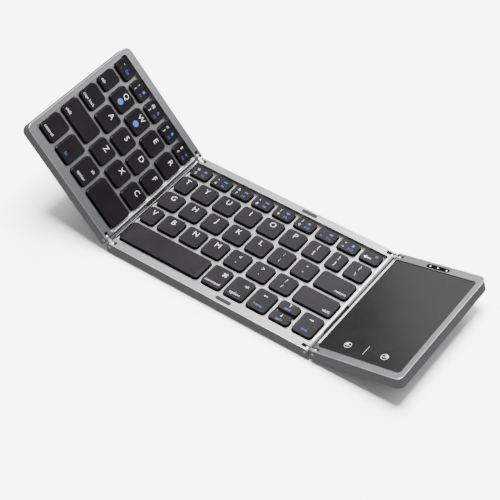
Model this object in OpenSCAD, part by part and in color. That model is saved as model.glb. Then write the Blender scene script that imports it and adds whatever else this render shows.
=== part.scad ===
// Folding keyboard: a centre panel and two wings. Each fold has a front and a rear link plate,
// and each link turns on one pin in either panel, so a wing folds flat onto the keys.
// The origin is on the table, under the middle of the centre panel. +X is right, +Y is rear.

/* [Panels] */
// Width of the centre panel
centre_w = 152; // [148:0.5:160]
// Depth of all three panels, front to rear
panel_d = 98; // [94:0.2:104]
// Thickness of a panel, from its underside to the top of its rim
panel_t = 7.7; // [7.3:0.1:8.6]
// Width of the left wing
left_w = 87.8; // [85:0.2:91]
// Gap between the free edges of the two wings when both are folded
wing_gap = 0.7; // [0.5:0.1:4]
// Corner radius at the free edge of a wing
corner_r = 4.8; // [2.5:0.1:7]
// Bevel round the underside
bead = 0.5; // [0.3:0.05:0.8]
// Bevel round the top of the rim
top_bevel = 0.15; // [0.1:0.05:0.5]

/* [Fold angles at rest] */
// Turn of the left links from flat, in degrees
left_link_angle = 39.6; // [0:0.1:88]
// Further turn of the left wing on its own pins
left_wing_angle = 8.3; // [0:0.1:85]
// Turn of the right links from flat
right_link_angle = 14; // [0:0.1:88]
// Further turn of the right wing on its own pins
right_wing_angle = 0; // [0:0.1:85]

/* [Shell] */
// Side wall
wall = 1.4; // [1.2:0.1:1.8]
// Floor above the back inlay
floor_t = 0.8; // [0.6:0.05:0.9]
// Thickness of the leather inlay
leather_t = 0.4; // [0.3:0.05:0.5]
// How far the inlay lies behind the bead
leather_recess = 0.1; // [0.05:0.05:0.2]
// Border between the panel edge and the inlay
leather_border = 0.9; // [0.8:0.1:2]
// Radius of the inlay's and the inside's corners at a fold
inner_r = 0.5; // [0.3:0.1:1]
// Clearance round the inlay
leather_fit = 0.05; // [0.02:0.01:0.1]

/* [Frame] */
// Top plate of the frame, which lies on a ledge of the shell walls
plate_t = 1; // [0.8:0.1:1.2]
// Width of the casing's edge round the top plate
edge_t = 1; // [0.8:0.05:1.1]
// Clearance between the top plate and that edge
edge_fit = 0.1; // [0.06:0.01:0.15]
// Rim width at the rear edge of a key panel
rim_rear = 5.6; // [5.4:0.1:6.2]
// Rim width at the front edge of a key panel
rim_front = 6.4; // [5.8:0.1:7.2]
// Rim width at the free edge of a wing
rim_free = 3.1; // [2.4:0.1:3.4]
// Width of the rounded lip at the fold of a wing
lip_wing = 3.2; // [2.8:0.1:3.6]
// Width of the lip at the left fold of the centre panel
lip_left = 1.8; // [1.8:0.1:2.4]
// Width of the lip at the right fold of the centre panel
lip_right = 2.9; // [2.4:0.1:3.4]
// Depth of the key web below the rim
web_drop = 2.7; // [2.3:0.1:2.9]
// Thickness of the key web
web_t = 1; // [0.7:0.1:1.2]
// Corner radius of the key well
well_r = 1.6; // [1:0.1:2.4]

/* [Keys] */
// Width of a letter key
key_w = 14.4; // [13.4:0.1:14.4]
// Depth of a letter key
key_d = 14.2; // [13.4:0.1:14.4]
// Depth of a key in the number row
number_d = 9.4; // [8.6:0.1:10]
// Width of the two keys that close the left home row
narrow_w = 12.6; // [11.4:0.1:13.4]
// Width of the two narrow keys at the left fold
fold_key_w = 10.9; // [9.8:0.1:11.6]
// Width of the backslash key
backslash_w = 14.1; // [12.8:0.1:14.8]
// Width of the long space bar
space_w = 61; // [57:0.2:63]
// Width of control, fn and option on the left wing
modifier_w = 13.8; // [12.6:0.1:14.4]
// Width of the tab key
tab_w = 10.4; // [9.4:0.1:11.4]
// Width of the caps lock key
caps_w = 14; // [13:0.1:15]
// Width of the left shift key
left_shift_w = 27.6; // [25:0.2:30]
// Width of the left space bar
left_space_w = 29.4; // [27:0.2:32]
// Width of the key before the backslash key
bracket_w = 10.6; // [9.8:0.1:11.4]
// Width of the return key
return_w = 24; // [22:0.2:26]
// Width of the right shift key
right_shift_w = 27.5; // [25:0.2:30]
// Width of command, option and the arrow keys
small_w = 13.88; // [12.8:0.02:14.8]
// Width of a number key
number_w = 13.6; // [12.6:0.1:14.6]
// Depth of a key in the bottom row
bottom_d = 17; // [15.6:0.2:18.4]
// Space between keys, side to side
key_gap = 2.8; // [2.6:0.1:3.2]
// Space between rows
row_gap = 3.2; // [2.9:0.1:3.6]
// Space between the up and down keys
half_gap = 2.2; // [1.6:0.1:2.6]
// Clearance between a key and its cell in the web
cell_fit = 0.5; // [0.3:0.05:0.7]
// Corner radius of a key
key_r = 2.2; // [1.4:0.1:2.8]
// Bevel round the top of a key
key_bevel = 0.35; // [0.2:0.05:0.5]
// Thickness of a key's top
cap_t = 1.1; // [0.8:0.1:1.3]
// Thickness of a key's skirt
skirt_t = 1.2; // [0.8:0.1:1.5]
// How far the key tops lie below the rim
key_drop = 0.7; // [0.5:0.05:1]
// Key travel
travel = 1.3; // [1:0.1:1.4]

/* [Space round the keys] */
// Rim to key at a wing's free edge
gap_free = 1.5; // [0.8:0.1:1.6]
// Lip to key at a fold
gap_fold = 0.8; // [0.6:0.1:1.2]
// Lip to key at the left fold of the centre panel
gap_left = 0.6; // [0.5:0.1:1.2]
// Lip to key at the right fold of the centre panel
gap_right = 2.3; // [1.6:0.1:2.8]
// Rim to key at the rear
gap_rear = 1.5; // [1:0.1:2]
// Rim to key at the front
gap_front = 2.7; // [1.8:0.1:3.2]

/* [Thumb scoop in the front rim] */
// Left end of the scoop, from the panel's left edge
scoop_x0 = 9; // [8.5:0.5:12]
// Right end of the scoop
scoop_x1 = 66.8; // [58:0.2:70]
// Rim left in front of the scoop
scoop_lip = 3; // [2.4:0.1:4]
// Depth of the scoop below the rim
scoop_drop = 0.9; // [0.5:0.1:0.95]
// Length of the curved run at either end
scoop_run = 3.6; // [3:0.2:4.5]

/* [Hinges] */
// Pin axis below the rim, which is also the radius of the rounded fold edge
pin_drop = 2.7; // [2.55:0.05:3]
// Space between two rims that are folded onto each other
closed_gap = 0.4; // [0.35:0.05:0.6]
// Hinge pin radius
pin_r = 0.7; // [0.6:0.05:0.8]
// Radial clearance of a pin in the shell
pin_fit = 0.05; // [0.03:0.01:0.08]
// Pin head radius
head_r = 1.05; // [0.95:0.05:1.2]
// Pin head thickness
head_t = 0.5; // [0.3:0.05:0.7]
// Link plate thickness
link_t = 2.1; // [1.7:0.05:2.3]
// Radius of a link's eye
link_r = 1.9; // [1.6:0.05:2]
// Height of the bar between the eyes
link_bar = 2.8; // [2:0.1:3]
// Clearance beside a link
link_side = 0.2; // [0.1:0.05:0.25]
// Clearance round a link's eye
link_round = 0.25; // [0.2:0.05:0.4]
// Length of a link's slot from the fold edge
slot_l = 6.3; // [5:0.1:7]
// Cheek between the slot and the panel's outer face
cheek_out = 1.4; // [1.2:0.1:1.7]
// Cheek on the inner side of the slot
cheek_in = 1.3; // [1.1:0.1:1.4]
// Clearance of a pin in the link's eyes
link_fit = 0.02; // [0.01:0.01:0.05]
// How far a pin stops short of its block's inner face
pin_short = 0.4; // [0.3:0.1:0.8]
// How much deeper a pin's bore is than the pin
bore_deep = 0.2; // [0.1:0.05:0.3]

/* [Flex cables] */
// Middle of the left flex slot, behind the panel's middle
flex_left_off = 0; // [-6:0.5:6]
// Length of the left flex slot
flex_left_l = 19.6; // [14:0.2:24]
// Middle of the right flex slot, in front of the panel's middle
flex_right_off = 18; // [10:0.5:22]
// Length of the right flex slot
flex_right_l = 25.8; // [18:0.2:30]
// Depth of the slot into the fold edge
flex_notch = 1.5; // [1.1:0.1:1.6]
// Thickness of a flex cable
flex_t = 0.2; // [0.1:0.02:0.3]
// Clearance above and below the cable in its slit
flex_fit = 0.3; // [0.2:0.05:0.4]
// Clearance at either end of the slot
flex_end = 1.8; // [1:0.1:3]
// How far the slit stays inside the slot at either end
flex_slit_in = 0.8; // [0.5:0.1:1.2]
// Depth of the slot below the pins
flex_floor = 1.2; // [0.9:0.1:1.5]

/* [Inside a key panel] */
// Metal base plate
base_t = 0.6; // [0.4:0.05:0.7]
// Sheet that joins the domes
sheet_t = 0.3; // [0.2:0.05:0.35]
// Radius at the foot of a dome
dome_r = 2.8; // [2.2:0.1:3.2]
// Radius at the top of a dome
dome_top_r = 1.6; // [1.2:0.1:2]
// Wall of a dome
dome_wall = 0.45; // [0.3:0.05:0.6]
// Radius at the foot of a half key's dome
half_dome_r = 1.9; // [1.5:0.1:2.2]
// Radius at the top of a half key's dome
half_dome_top_r = 1.1; // [0.8:0.1:1.4]
// How far the dome sheet stays inside the key field
sheet_in = 1.5; // [1:0.1:2.5]
// Radius of a lightening hole in the base plate
hole_r = 1.5; // [1:0.1:2]
// Spacing of the lightening holes
hole_pitch = 16; // [12:1:24]
// First lightening hole, from the panel's side
hole_x = 12; // [10:0.5:16]
// Lightening holes, from the rims
hole_in = 4; // [3:0.5:6]

/* [Touchpad wing] */
// Rim in front of the touchpad
pad_front = 5.2; // [5.1:0.1:8]
// Rim behind the touchpad
pad_rear = 6; // [5.8:0.1:8]
// Rim beside the touchpad, at the free edge
pad_side = 3.5; // [3:0.1:5]
// Touchpad plate thickness
pad_t = 1.2; // [0.9:0.05:1.3]
// How far the touchpad lies below the rim
pad_drop = 0.4; // [0.2:0.05:0.6]
// Corner radius of the touchpad
pad_r = 2; // [1:0.1:3]
// Ledge that carries the touchpad
pad_ledge = 1.2; // [0.8:0.1:1.6]
// Board under the touchpad
pad_board_t = 0.8; // [0.6:0.05:0.9]
// Fit round inset plates
inset_fit = 0.1; // [0.05:0.01:0.15]
// Length of the indicator window
window_l = 15.8; // [14:0.2:20]
// Width of the indicator window
window_w = 3.2; // [2.8:0.1:3.4]
// Middle of the window, from the rear edge
window_inset = 3.7; // [3.5:0.1:3.8]
// Main board thickness
board_t = 0.6; // [0.5:0.05:0.8]
// Main board depth
board_d = 16; // [13:0.5:19]
// Battery width
battery_w = 40; // [30:1:46]
// Battery depth
battery_d = 52; // [40:1:58]
// Battery thickness
battery_t = 3; // [2:0.1:3.2]
// Corner radius of the battery
battery_r = 1.5; // [0.5:0.1:3]
// Space between the battery and the main board
battery_gap = 3; // [1:0.5:5]
// Space between the main board and a hinge block
board_gap = 1; // [0.5:0.1:2]
// Ledge that carries the indicator window
window_ledge = 0.8; // [0.5:0.1:1.1]

/* [Ports on the rear edge] */
// Middle of the charging port, from the wing's free edge
port_in = 17.3; // [16:0.1:21]
// Width of the charging port's shell
port_w = 8.94; // [8.6:0.02:9.2]
// Height of the charging port's shell
port_h = 3.2; // [3:0.05:3.3]
// Depth of the charging port
port_d = 7.3; // [6.5:0.1:8.5]
// Sheet thickness of the port's shell
port_sheet = 0.3; // [0.2:0.05:0.35]
// Length of the insert round the port
insert_l = 18.2; // [15:0.2:20]
// Height of the insert round the port
insert_h = 4.4; // [4.1:0.1:4.5]
// Clearance of the port in its insert
port_fit = 0.08; // [0.05:0.01:0.12]
// How far the port's shell lies behind the wall
port_back = 0.3; // [0.1:0.05:0.5]
// Thickness of the port's back
port_end = 0.8; // [0.5:0.1:1]
// Width of the contact tongue
tongue_w = 6.7; // [6.4:0.1:7]
// Thickness of the contact tongue
tongue_t = 0.7; // [0.5:0.05:0.8]
// How far the tongue stays behind the port's mouth
tongue_back = 1.6; // [1:0.1:2]
// Middle of the switch slot, from the fold
switch_x = 18.8; // [16:0.2:23]
// Length of the switch slot
switch_l = 9.2; // [8.4:0.1:10.5]
// Height of the switch slot
switch_h = 2.6; // [2.2:0.1:2.8]
// Height of the middle of the switch slot
switch_z = 3; // [2.8:0.05:3.2]
// Length of the switch knob
knob_l = 4.4; // [3.6:0.1:4.8]
// Clearance round the knob
knob_fit = 0.2; // [0.15:0.01:0.3]
// Pin hole, from the fold
pinhole_x = 11.3; // [9:0.1:13]
// Radius of the pin hole
pinhole_r = 0.4; // [0.3:0.05:0.6]
// Pin hole above the middle of the switch slot
pinhole_rise = 0.8; // [0:0.1:1]
// Width of the knob's stem
stem_w = 1.6; // [1.2:0.1:2]
// Height of the knob's stem
stem_h = 1.2; // [0.8:0.1:1.4]
// Length of the knob's stem
stem_l = 1.4; // [1:0.1:1.5]
// Depth of the switch's case
switch_d = 3; // [2.5:0.1:4]
// Space between the switch's case and the wall
switch_back = 0.3; // [0.25:0.05:0.5]
// Depth of the stem's track in the case
track_d = 1.8; // [1.6:0.1:2]
// Height of the stem's track
track_h = 1.6; // [1.4:0.1:2]
// Wall at either end of the track
track_end = 1.4; // [1.2:0.1:1.6]

/* [Rubber] */
// Foot height below the panel
foot_h = 0.7; // [0.5:0.1:1.5]
// Foot length
foot_l = 12; // [9:0.5:15]
// Foot width
foot_w = 2.7; // [2:0.1:3.4]
// Middle of a foot, from the front or rear edge
foot_in_y = 4.2; // [3.6:0.1:6]
// Middle of a foot, from the side edge
foot_in_x = 9.1; // [8.8:0.1:14]
// Length of a bumper on the centre rim
bumper_l = 11.2; // [8:0.2:14]
// Width of a bumper
bumper_w = 2.3; // [1.8:0.1:2.6]
// Height of a bumper above the rim
bumper_rise = 0.3; // [0.1:0.02:0.3]
// Depth of a bumper's seat
bumper_seat = 0.6; // [0.4:0.05:0.8]

/* [Hidden] */

$fn = 48;
eps = 0.01;
over = 1;
key_fn = 20;

right_w = centre_w - left_w - wing_gap;
fold_r = bead + top_bevel;
barrel_r = pin_drop;
pin_z = panel_t - pin_drop;
link_pitch = 2 * pin_drop + closed_gap;
plate_z = panel_t - plate_t;
web_z = panel_t - web_drop;
floor_z = leather_recess + leather_t + floor_t;
base_z = floor_z + base_t;
sheet_z = base_z + sheet_t;
press_clear = 0.3;
cap_h = panel_t - key_drop - travel - sheet_z - press_clear;
dome_h = panel_t - key_drop - cap_t - sheet_z;
slot_w = link_t + 2 * link_side;
slot_r = link_r + link_round;
block_y = cheek_out + slot_w + cheek_in;
block_x = slot_l + wall;
pin_l = block_y - pin_short;
scoop_z = panel_t - scoop_drop;
flex_left_at = panel_d / 2 + flex_left_off;
flex_right_at = panel_d / 2 - flex_right_off;
port_x = right_w - port_in;
pad_x = lip_wing;
pad_w = right_w - lip_wing - pad_side;
pad_d = panel_d - pad_front - pad_rear;
pad_z = panel_t - pad_drop - pad_t;
pad_mid = pad_x + pad_w / 2;
port_z = floor_z + board_t + port_h / 2;
knob_travel = switch_l - knob_l - 2 * knob_fit;
bumper_x = centre_w / 2 + (left_w - right_w) / 2;
inner_fit = 0.1;
plate_fit = 0.2;

silver = "silver";
gunmetal = "dimgray";
charcoal = "darkslategray";

// ---- key layout: x runs from the left edge of the key field, y from the panel's front edge ----

field_left_x = rim_free + gap_free;
field_left_w = left_w - field_left_x - lip_wing - gap_fold;
field_centre_x = lip_left + gap_left;
field_centre_w = centre_w - field_centre_x - lip_right - gap_right;
field_d = panel_d - rim_rear - gap_rear - rim_front - gap_front;

// Sum of the first n numbers of a list
function sum_to(list, n) = n <= 0 ? 0 : list[n - 1] + sum_to(list, n - 1);
// Sizes drawn to one scale so that they and the gaps between them fill a length
function fill(sizes, gap, length) = let (
    n = len(sizes), k = (length - (n - 1) * gap) / sum_to(sizes, n)) [for (v = sizes) v * k];
function left_row(sizes) = fill(sizes, key_gap, field_left_w);
function centre_row(sizes) = fill(sizes, key_gap, field_centre_w);

row_depth = fill([number_d, key_d, key_d, key_d, bottom_d], row_gap, field_d);
half_d = (row_depth[4] - half_gap) / 2;

LEFT_ROWS = [
    left_row([number_w, number_w, number_w, number_w, number_w]),
    left_row([tab_w, key_w, key_w, key_w, key_w]),
    left_row([caps_w, key_w, key_w, narrow_w, narrow_w]),
    left_row([left_shift_w, key_w, key_w, key_w]),
    left_row([modifier_w, modifier_w, modifier_w, left_space_w])];
CENTRE_ROWS = [
    centre_row([for (i = [0:8]) number_w]),
    centre_row([fold_key_w, key_w, key_w, key_w, key_w, key_w, key_w, bracket_w, backslash_w]),
    centre_row([key_w, key_w, key_w, key_w, key_w, key_w, key_w, return_w]),
    centre_row([fold_key_w, key_w, key_w, key_w, key_w, key_w, key_w, right_shift_w]),
    centre_row([space_w, small_w, small_w, small_w, small_w, small_w])];
split_row = 4;
split_key = 4;

// Left side of key i in a row, from the field's left edge
function key_x(row, i) = sum_to(row, i) + i * key_gap;
// Front side of row r, from the panel's front edge
function row_y(r) = panel_d - rim_rear - gap_rear - sum_to(row_depth, r + 1) - r * row_gap;

// ---- shared outlines ----

// Rectangle with radius r0 at its x = 0 corners and r1 at the other two
module outline(w, d, r0, r1) {
    translate([r0, 0]) square([w - r0 - r1, d]);
    translate([0, r0]) square([r0, d - 2 * r0]);
    translate([w - r1, r1]) square([r1, d - 2 * r1]);
    for (y = [0, 1]) {
        translate([r0, y ? d - r0 : r0]) circle(r0);
        translate([w - r1, y ? d - r1 : r1]) circle(r1);
    }
}

// Slot shape with round ends, centred
module stadium(l, w) {
    square([l - w, w], center = true);
    for (s = [-1, 1]) translate([s * (l - w) / 2, 0]) circle(w / 2);
}

// Corner column of a panel, bevelled at both ends
module corner(r) {
    cylinder(h = bead, r1 = r - bead, r2 = r);
    translate([0, 0, panel_t - top_bevel]) cylinder(h = top_bevel, r1 = r, r2 = r - top_bevel);
}

// Whole outer form of a panel. fold0 and fold1 say whether the x = 0 and x = w ends are folds.
module envelope(w, fold0, fold1) {
    r0 = fold0 ? fold_r : corner_r;
    r1 = fold1 ? fold_r : corner_r;
    x0 = fold0 ? barrel_r : 0;
    x1 = fold1 ? w - barrel_r : w;
    intersection() {
        hull() {
            for (y = [0, 1]) {
                translate([r0, y ? panel_d - r0 : r0, 0]) corner(r0);
                translate([w - r1, y ? panel_d - r1 : r1, 0]) corner(r1);
            }
        }
        translate([0, panel_d + over, 0]) rotate([90, 0, 0]) linear_extrude(panel_d + 2 * over) {
            translate([x0, -over]) square([x1 - x0, panel_t + over]);
            translate([-over * (fold0 ? 0 : 1), -over])
                square([w + (fold0 ? 0 : over) + (fold1 ? 0 : over), pin_z + over]);
            if (fold0) translate([barrel_r, pin_z]) circle(barrel_r, $fn = 96);
            if (fold1) translate([w - barrel_r, pin_z]) circle(barrel_r, $fn = 96);
        }
    }
}

// Plan of the space inside the side walls, less the hinge blocks, drawn in by fit
module inner_plan(w, fold0, fold1, fit) {
    r0 = fold0 ? inner_r : corner_r - wall;
    r1 = fold1 ? inner_r : corner_r - wall;
    in = wall + fit;
    difference() {
        translate([in, in]) outline(w - 2 * in, panel_d - 2 * in, r0, r1);
        for (y = [-over, panel_d - block_y - fit]) {
            if (fold0) translate([-over, y]) square([block_x + fit + over, block_y + fit + over]);
            if (fold1) translate([w - block_x - fit, y]) square([block_x + fit + over, block_y + fit + over]);
        }
    }
}

// Children at each fold end of a panel, turned so that the fold edge lies along x = 0
module at_folds(w, fold0, fold1) {
    if (fold0) children();
    if (fold1) translate([w, 0, 0]) mirror([1, 0, 0]) children();
}

// Open slots for the two link plates of a fold
module link_slots() {
    for (y = [cheek_out, panel_d - cheek_out - slot_w])
        translate([-over, y, pin_z - slot_r]) cube([slot_l + over, slot_w, panel_t]);
}

// Bores for the pins of a fold, with seats for the heads
module pin_bores() {
    for (s = [0, 1]) translate([pin_drop, s * panel_d, pin_z]) rotate([s ? 90 : -90, 0, 0]) {
        translate([0, 0, -over]) cylinder(r = pin_r + pin_fit, h = pin_l + bore_deep + over);
        translate([0, 0, -over]) cylinder(r = head_r + pin_fit, h = head_t + over);
    }
}

// Slot in the fold edge where the flex cable crosses, and the slit behind it
module flex_cut(y, l, lip) {
    slit_h = flex_t + 2 * flex_fit;
    translate([-over, y - l / 2, pin_z - flex_floor]) cube([flex_notch + over, l, panel_t]);
    translate([-over, y - l / 2 + flex_slit_in, pin_z - slit_h / 2])
        cube([lip + 2 * over, l - 2 * flex_slit_in, slit_h]);
}

// The middle stretch of a fold edge, above the pins, that the frame's lip fills
module lip_space(lip) {
    translate([-over, block_y, pin_z]) cube([lip + over, panel_d - 2 * block_y, panel_t]);
}

// Lower casing with its walls, floor and hinge blocks
module shell(w, fold0, fold1) {
    difference() {
        envelope(w, fold0, fold1);
        top_plate(w, fold0, fold1, 0);
        translate([0, 0, floor_z]) linear_extrude(panel_t) inner_plan(w, fold0, fold1, 0);
        translate([0, 0, -over]) linear_extrude(over + leather_recess + leather_t)
            leather_plan(w, fold0, fold1, 0);
        at_folds(w, fold0, fold1) {
            lip_space(wall + inner_fit);
            link_slots();
            pin_bores();
        }
    }
}

// Room of a frame's top plate: inside the casing's edge, open at the folds, clear of the outer cheeks
module top_plate(w, fold0, fold1, fit) {
    in = edge_t + fit;
    r = corner_r - in;
    x0 = fold0 ? -over : in;
    x1 = fold1 ? w + over : w - in;
    cheek_l = over + slot_l + fit;
    translate([0, 0, plate_z]) linear_extrude(panel_t) difference() {
        translate([x0, in])
            outline(x1 - x0, panel_d - 2 * in, fold0 ? inner_r : r, fold1 ? inner_r : r);
        for (y = [0, panel_d - cheek_out - fit]) {
            if (fold0) translate([-over, y]) square([cheek_l, cheek_out + fit]);
            if (fold1) translate([w + over - cheek_l, y]) square([cheek_l, cheek_out + fit]);
        }
    }
}

// Plan of the back inlay, drawn in by fit
module leather_plan(w, fold0, fold1, fit) {
    in = leather_border + fit;
    r0 = fold0 ? inner_r : corner_r - leather_border;
    r1 = fold1 ? inner_r : corner_r - leather_border;
    translate([in, in]) outline(w - 2 * in, panel_d - 2 * in, r0, r1);
}

// Back inlay
module leather(w, fold0, fold1) {
    color("gray") translate([0, 0, leather_recess]) linear_extrude(leather_t)
        leather_plan(w, fold0, fold1, leather_fit);
}

// Four rubber feet under a panel
module feet(w) {
    color("black") for (x = [foot_in_x, w - foot_in_x], y = [foot_in_y, panel_d - foot_in_y])
        translate([x, y, -foot_h]) linear_extrude(foot_h + leather_recess) stadium(foot_l, foot_w);
}

// Top plate and fold lips of a frame
module frame_top(w, fold0, fold1, lip0, lip1) {
    intersection() {
        envelope(w, fold0, fold1);
        union() {
            top_plate(w, fold0, fold1, edge_fit);
            if (fold0) lip_space(lip0);
            if (fold1) translate([w, 0, 0]) mirror([1, 0, 0]) lip_space(lip1);
        }
    }
}

// Metal plate that carries the dome sheet
module base_plate(w, fold0, fold1) {
    color("lightsteelblue") translate([0, 0, floor_z]) linear_extrude(base_t) difference() {
        inner_plan(w, fold0, fold1, plate_fit);
        for (x = [hole_x:hole_pitch:w - hole_x], y = [rim_front + hole_in, panel_d - rim_rear - hole_in])
            translate([x, y]) circle(hole_r);
    }
}

// ---- keys ----

// A key with its top face at z = 0 and its front left corner at the origin
module keycap(w, d) {
    difference() {
        hull() {
            translate([0, 0, -cap_h]) linear_extrude(cap_h - key_bevel)
                outline(w, d, key_r, key_r, $fn = key_fn);
            translate([key_bevel, key_bevel, -eps]) linear_extrude(eps)
                outline(w - 2 * key_bevel, d - 2 * key_bevel, key_r - key_bevel, key_r - key_bevel,
                    $fn = key_fn);
        }
        translate([skirt_t, skirt_t, -cap_h - over])
            cube([w - 2 * skirt_t, d - 2 * skirt_t, cap_h - cap_t + over]);
    }
}

// Children placed at key i of row r, in panel coordinates
module at_key(rows, field_x, r, i) translate([field_x + key_x(rows[r], i), row_y(r), 0]) children();

// Key i of row r on the left wing
module left_key(r, i) color(charcoal) at_left() at_key(LEFT_ROWS, field_left_x, r, i)
    translate([0, 0, panel_t - key_drop]) keycap(LEFT_ROWS[r][i], row_depth[r]);

// Key i of row r on the centre panel
module centre_key(r, i) color(charcoal) at_centre() at_key(CENTRE_ROWS, field_centre_x, r, i)
    translate([0, 0, panel_t - key_drop]) keycap(CENTRE_ROWS[r][i], row_depth[r]);

// Half key, 0 for the front one and 1 for the rear one
module half_key(s) color(charcoal) at_centre() at_key(CENTRE_ROWS, field_centre_x, split_row, split_key)
    translate([0, s * (half_d + half_gap), panel_t - key_drop])
        keycap(CENTRE_ROWS[split_row][split_key], half_d);

// Openings for all keys of a panel, from the base plate up
module cells(rows, field_x) {
    for (r = [0:len(rows) - 1], i = [0:len(rows[r]) - 1])
        at_key(rows, field_x, r, i) translate([-cell_fit, -cell_fit, base_z]) linear_extrude(panel_t)
            outline(rows[r][i] + 2 * cell_fit, row_depth[r] + 2 * cell_fit, key_r + cell_fit,
                key_r + cell_fit);
}

// Hollow dome with a closed top, from its radii at the foot and the top
module dome(r, top_r) {
    rotate_extrude() polygon([[r - dome_wall, 0], [r, 0], [top_r, dome_h], [0, dome_h],
        [0, dome_h - dome_wall], [top_r - dome_wall, dome_h - dome_wall]]);
}

// Sheet with a dome under each key. The split key has two.
module domes(rows, field_x, field_w, split) {
    color("gainsboro") {
        translate([field_x + sheet_in, row_y(split_row) + sheet_in, base_z]) linear_extrude(sheet_t)
            outline(field_w - 2 * sheet_in, field_d - 2 * sheet_in, inner_r, inner_r);
        for (r = [0:len(rows) - 1], i = [0:len(rows[r]) - 1]) at_key(rows, field_x, r, i)
            if (split && r == split_row && i == split_key) {
                for (s = [0, 1]) translate([rows[r][i] / 2, half_d / 2 + s * (half_d + half_gap), sheet_z])
                    dome(half_dome_r, half_dome_top_r);
            } else {
                translate([rows[r][i] / 2, row_depth[r] / 2, sheet_z]) dome(dome_r, dome_top_r);
            }
    }
}

// Frame of a key panel: rim, lips, web and the skirt that stands on the base plate
module key_frame(w, fold0, fold1, lip0, lip1, rows, field_x) {
    difference() {
        union() {
            frame_top(w, fold0, fold1, lip0, lip1);
            translate([0, 0, base_z]) linear_extrude(plate_z - base_z + eps)
                inner_plan(w, fold0, fold1, inner_fit);
        }
        translate([lip0, rim_front, web_z]) linear_extrude(panel_t)
            outline(w - lip0 - lip1, panel_d - rim_front - rim_rear, well_r, well_r);
        translate([lip0, rim_front, base_z - over]) linear_extrude(web_z - web_t - base_z + over)
            outline(w - lip0 - lip1, panel_d - rim_front - rim_rear, well_r, well_r);
        cells(rows, field_x);
        at_folds(w, fold0, fold1) link_slots();
    }
}

// ---- placing the panels ----

module at_centre() translate([-centre_w / 2, -panel_d / 2, foot_h]) children();

// World place of a fold's pins. side is -1 at the left and 1 at the right.
function centre_pin(side) = [side * (centre_w / 2 - pin_drop), foot_h + pin_z];
function wing_pin(side, a) = centre_pin(side) + link_pitch * [side * cos(a), sin(a)];
left_turn = left_link_angle + left_wing_angle;
right_turn = right_link_angle + right_wing_angle;
left_pin = wing_pin(-1, left_link_angle);
right_pin = wing_pin(1, right_link_angle);

module at_left() translate([left_pin[0], -panel_d / 2, left_pin[1]]) rotate([0, left_turn, 0])
    translate([-left_w + pin_drop, 0, -pin_z]) children();

module at_right() translate([right_pin[0], -panel_d / 2, right_pin[1]]) rotate([0, -right_turn, 0])
    translate([-pin_drop, 0, -pin_z]) children();

// ---- centre panel ----

// Thumb scoop outline with curved ends, in plan
module scoop_plan() {
    r = scoop_run / 2;
    l = scoop_x1 - scoop_x0;
    y0 = scoop_lip;
    y1 = rim_front + over;
    translate([scoop_x0 + scoop_run, y0]) square([l - 2 * scoop_run, y1 - y0]);
    for (s = [0, 1]) translate([s ? scoop_x1 : scoop_x0, 0]) mirror([s, 0]) difference() {
        translate([r, y0]) square([r + eps, y1 - y0]);
        translate([r, y0]) circle(r);
    }
    for (s = [0, 1]) translate([s ? scoop_x1 : scoop_x0, 0]) mirror([s, 0]) intersection() {
        translate([0, rim_front - r]) square([r + eps, r + over]);
        difference() {
            translate([0, rim_front - r]) square([r + eps, r + over]);
            translate([0, rim_front - 2 * r + eps]) circle(r);
        }
    }
}

module centre_frame() color(silver) at_centre() difference() {
    key_frame(centre_w, true, true, lip_left, lip_right, CENTRE_ROWS, field_centre_x);
    translate([0, 0, scoop_z]) linear_extrude(panel_t) scoop_plan();
    flex_cut(flex_left_at, flex_left_l, lip_left);
    translate([centre_w, 0, 0]) mirror([1, 0, 0]) flex_cut(flex_right_at, flex_right_l, lip_right);
    for (y = [rim_front / 2, panel_d - rim_rear / 2])
        translate([bumper_x, y, panel_t - bumper_seat]) linear_extrude(panel_t)
            stadium(bumper_l + 2 * inset_fit, bumper_w + 2 * inset_fit);
}

module centre_shell() color(gunmetal) at_centre() difference() {
    shell(centre_w, true, true);
    flex_cut(flex_left_at, flex_left_l, lip_left);
    translate([centre_w, 0, 0]) mirror([1, 0, 0]) flex_cut(flex_right_at, flex_right_l, lip_right);
}

module centre_leather() at_centre() leather(centre_w, true, true);

module centre_feet() at_centre() feet(centre_w);

module centre_bumpers() color("black") at_centre()
    for (y = [rim_front / 2, panel_d - rim_rear / 2]) translate([bumper_x, y, panel_t - bumper_seat])
        linear_extrude(bumper_seat + bumper_rise) stadium(bumper_l, bumper_w);

module centre_base_plate() at_centre() base_plate(centre_w, true, true);

module centre_domes() at_centre() domes(CENTRE_ROWS, field_centre_x, field_centre_w, true);

// ---- left wing ----

module left_frame() color(silver) at_left() difference() {
    key_frame(left_w, false, true, rim_free, lip_wing, LEFT_ROWS, field_left_x);
    translate([left_w, 0, 0]) mirror([1, 0, 0]) flex_cut(flex_left_at, flex_left_l, lip_wing);
}

module left_shell() color(gunmetal) at_left() difference() {
    shell(left_w, false, true);
    translate([left_w, 0, 0]) mirror([1, 0, 0]) flex_cut(flex_left_at, flex_left_l, lip_wing);
}

module left_leather() at_left() leather(left_w, false, true);

module left_feet() at_left() feet(left_w);

module left_base_plate() at_left() base_plate(left_w, false, true);

module left_domes() at_left() domes(LEFT_ROWS, field_left_x, field_left_w, false);

// ---- right wing ----

// Plan of the touchpad plate, grown by fit
module pad_plan(fit) translate([pad_x - fit, pad_front - fit])
    outline(pad_w + 2 * fit, pad_d + 2 * fit, pad_r + fit, pad_r + fit);

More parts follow.
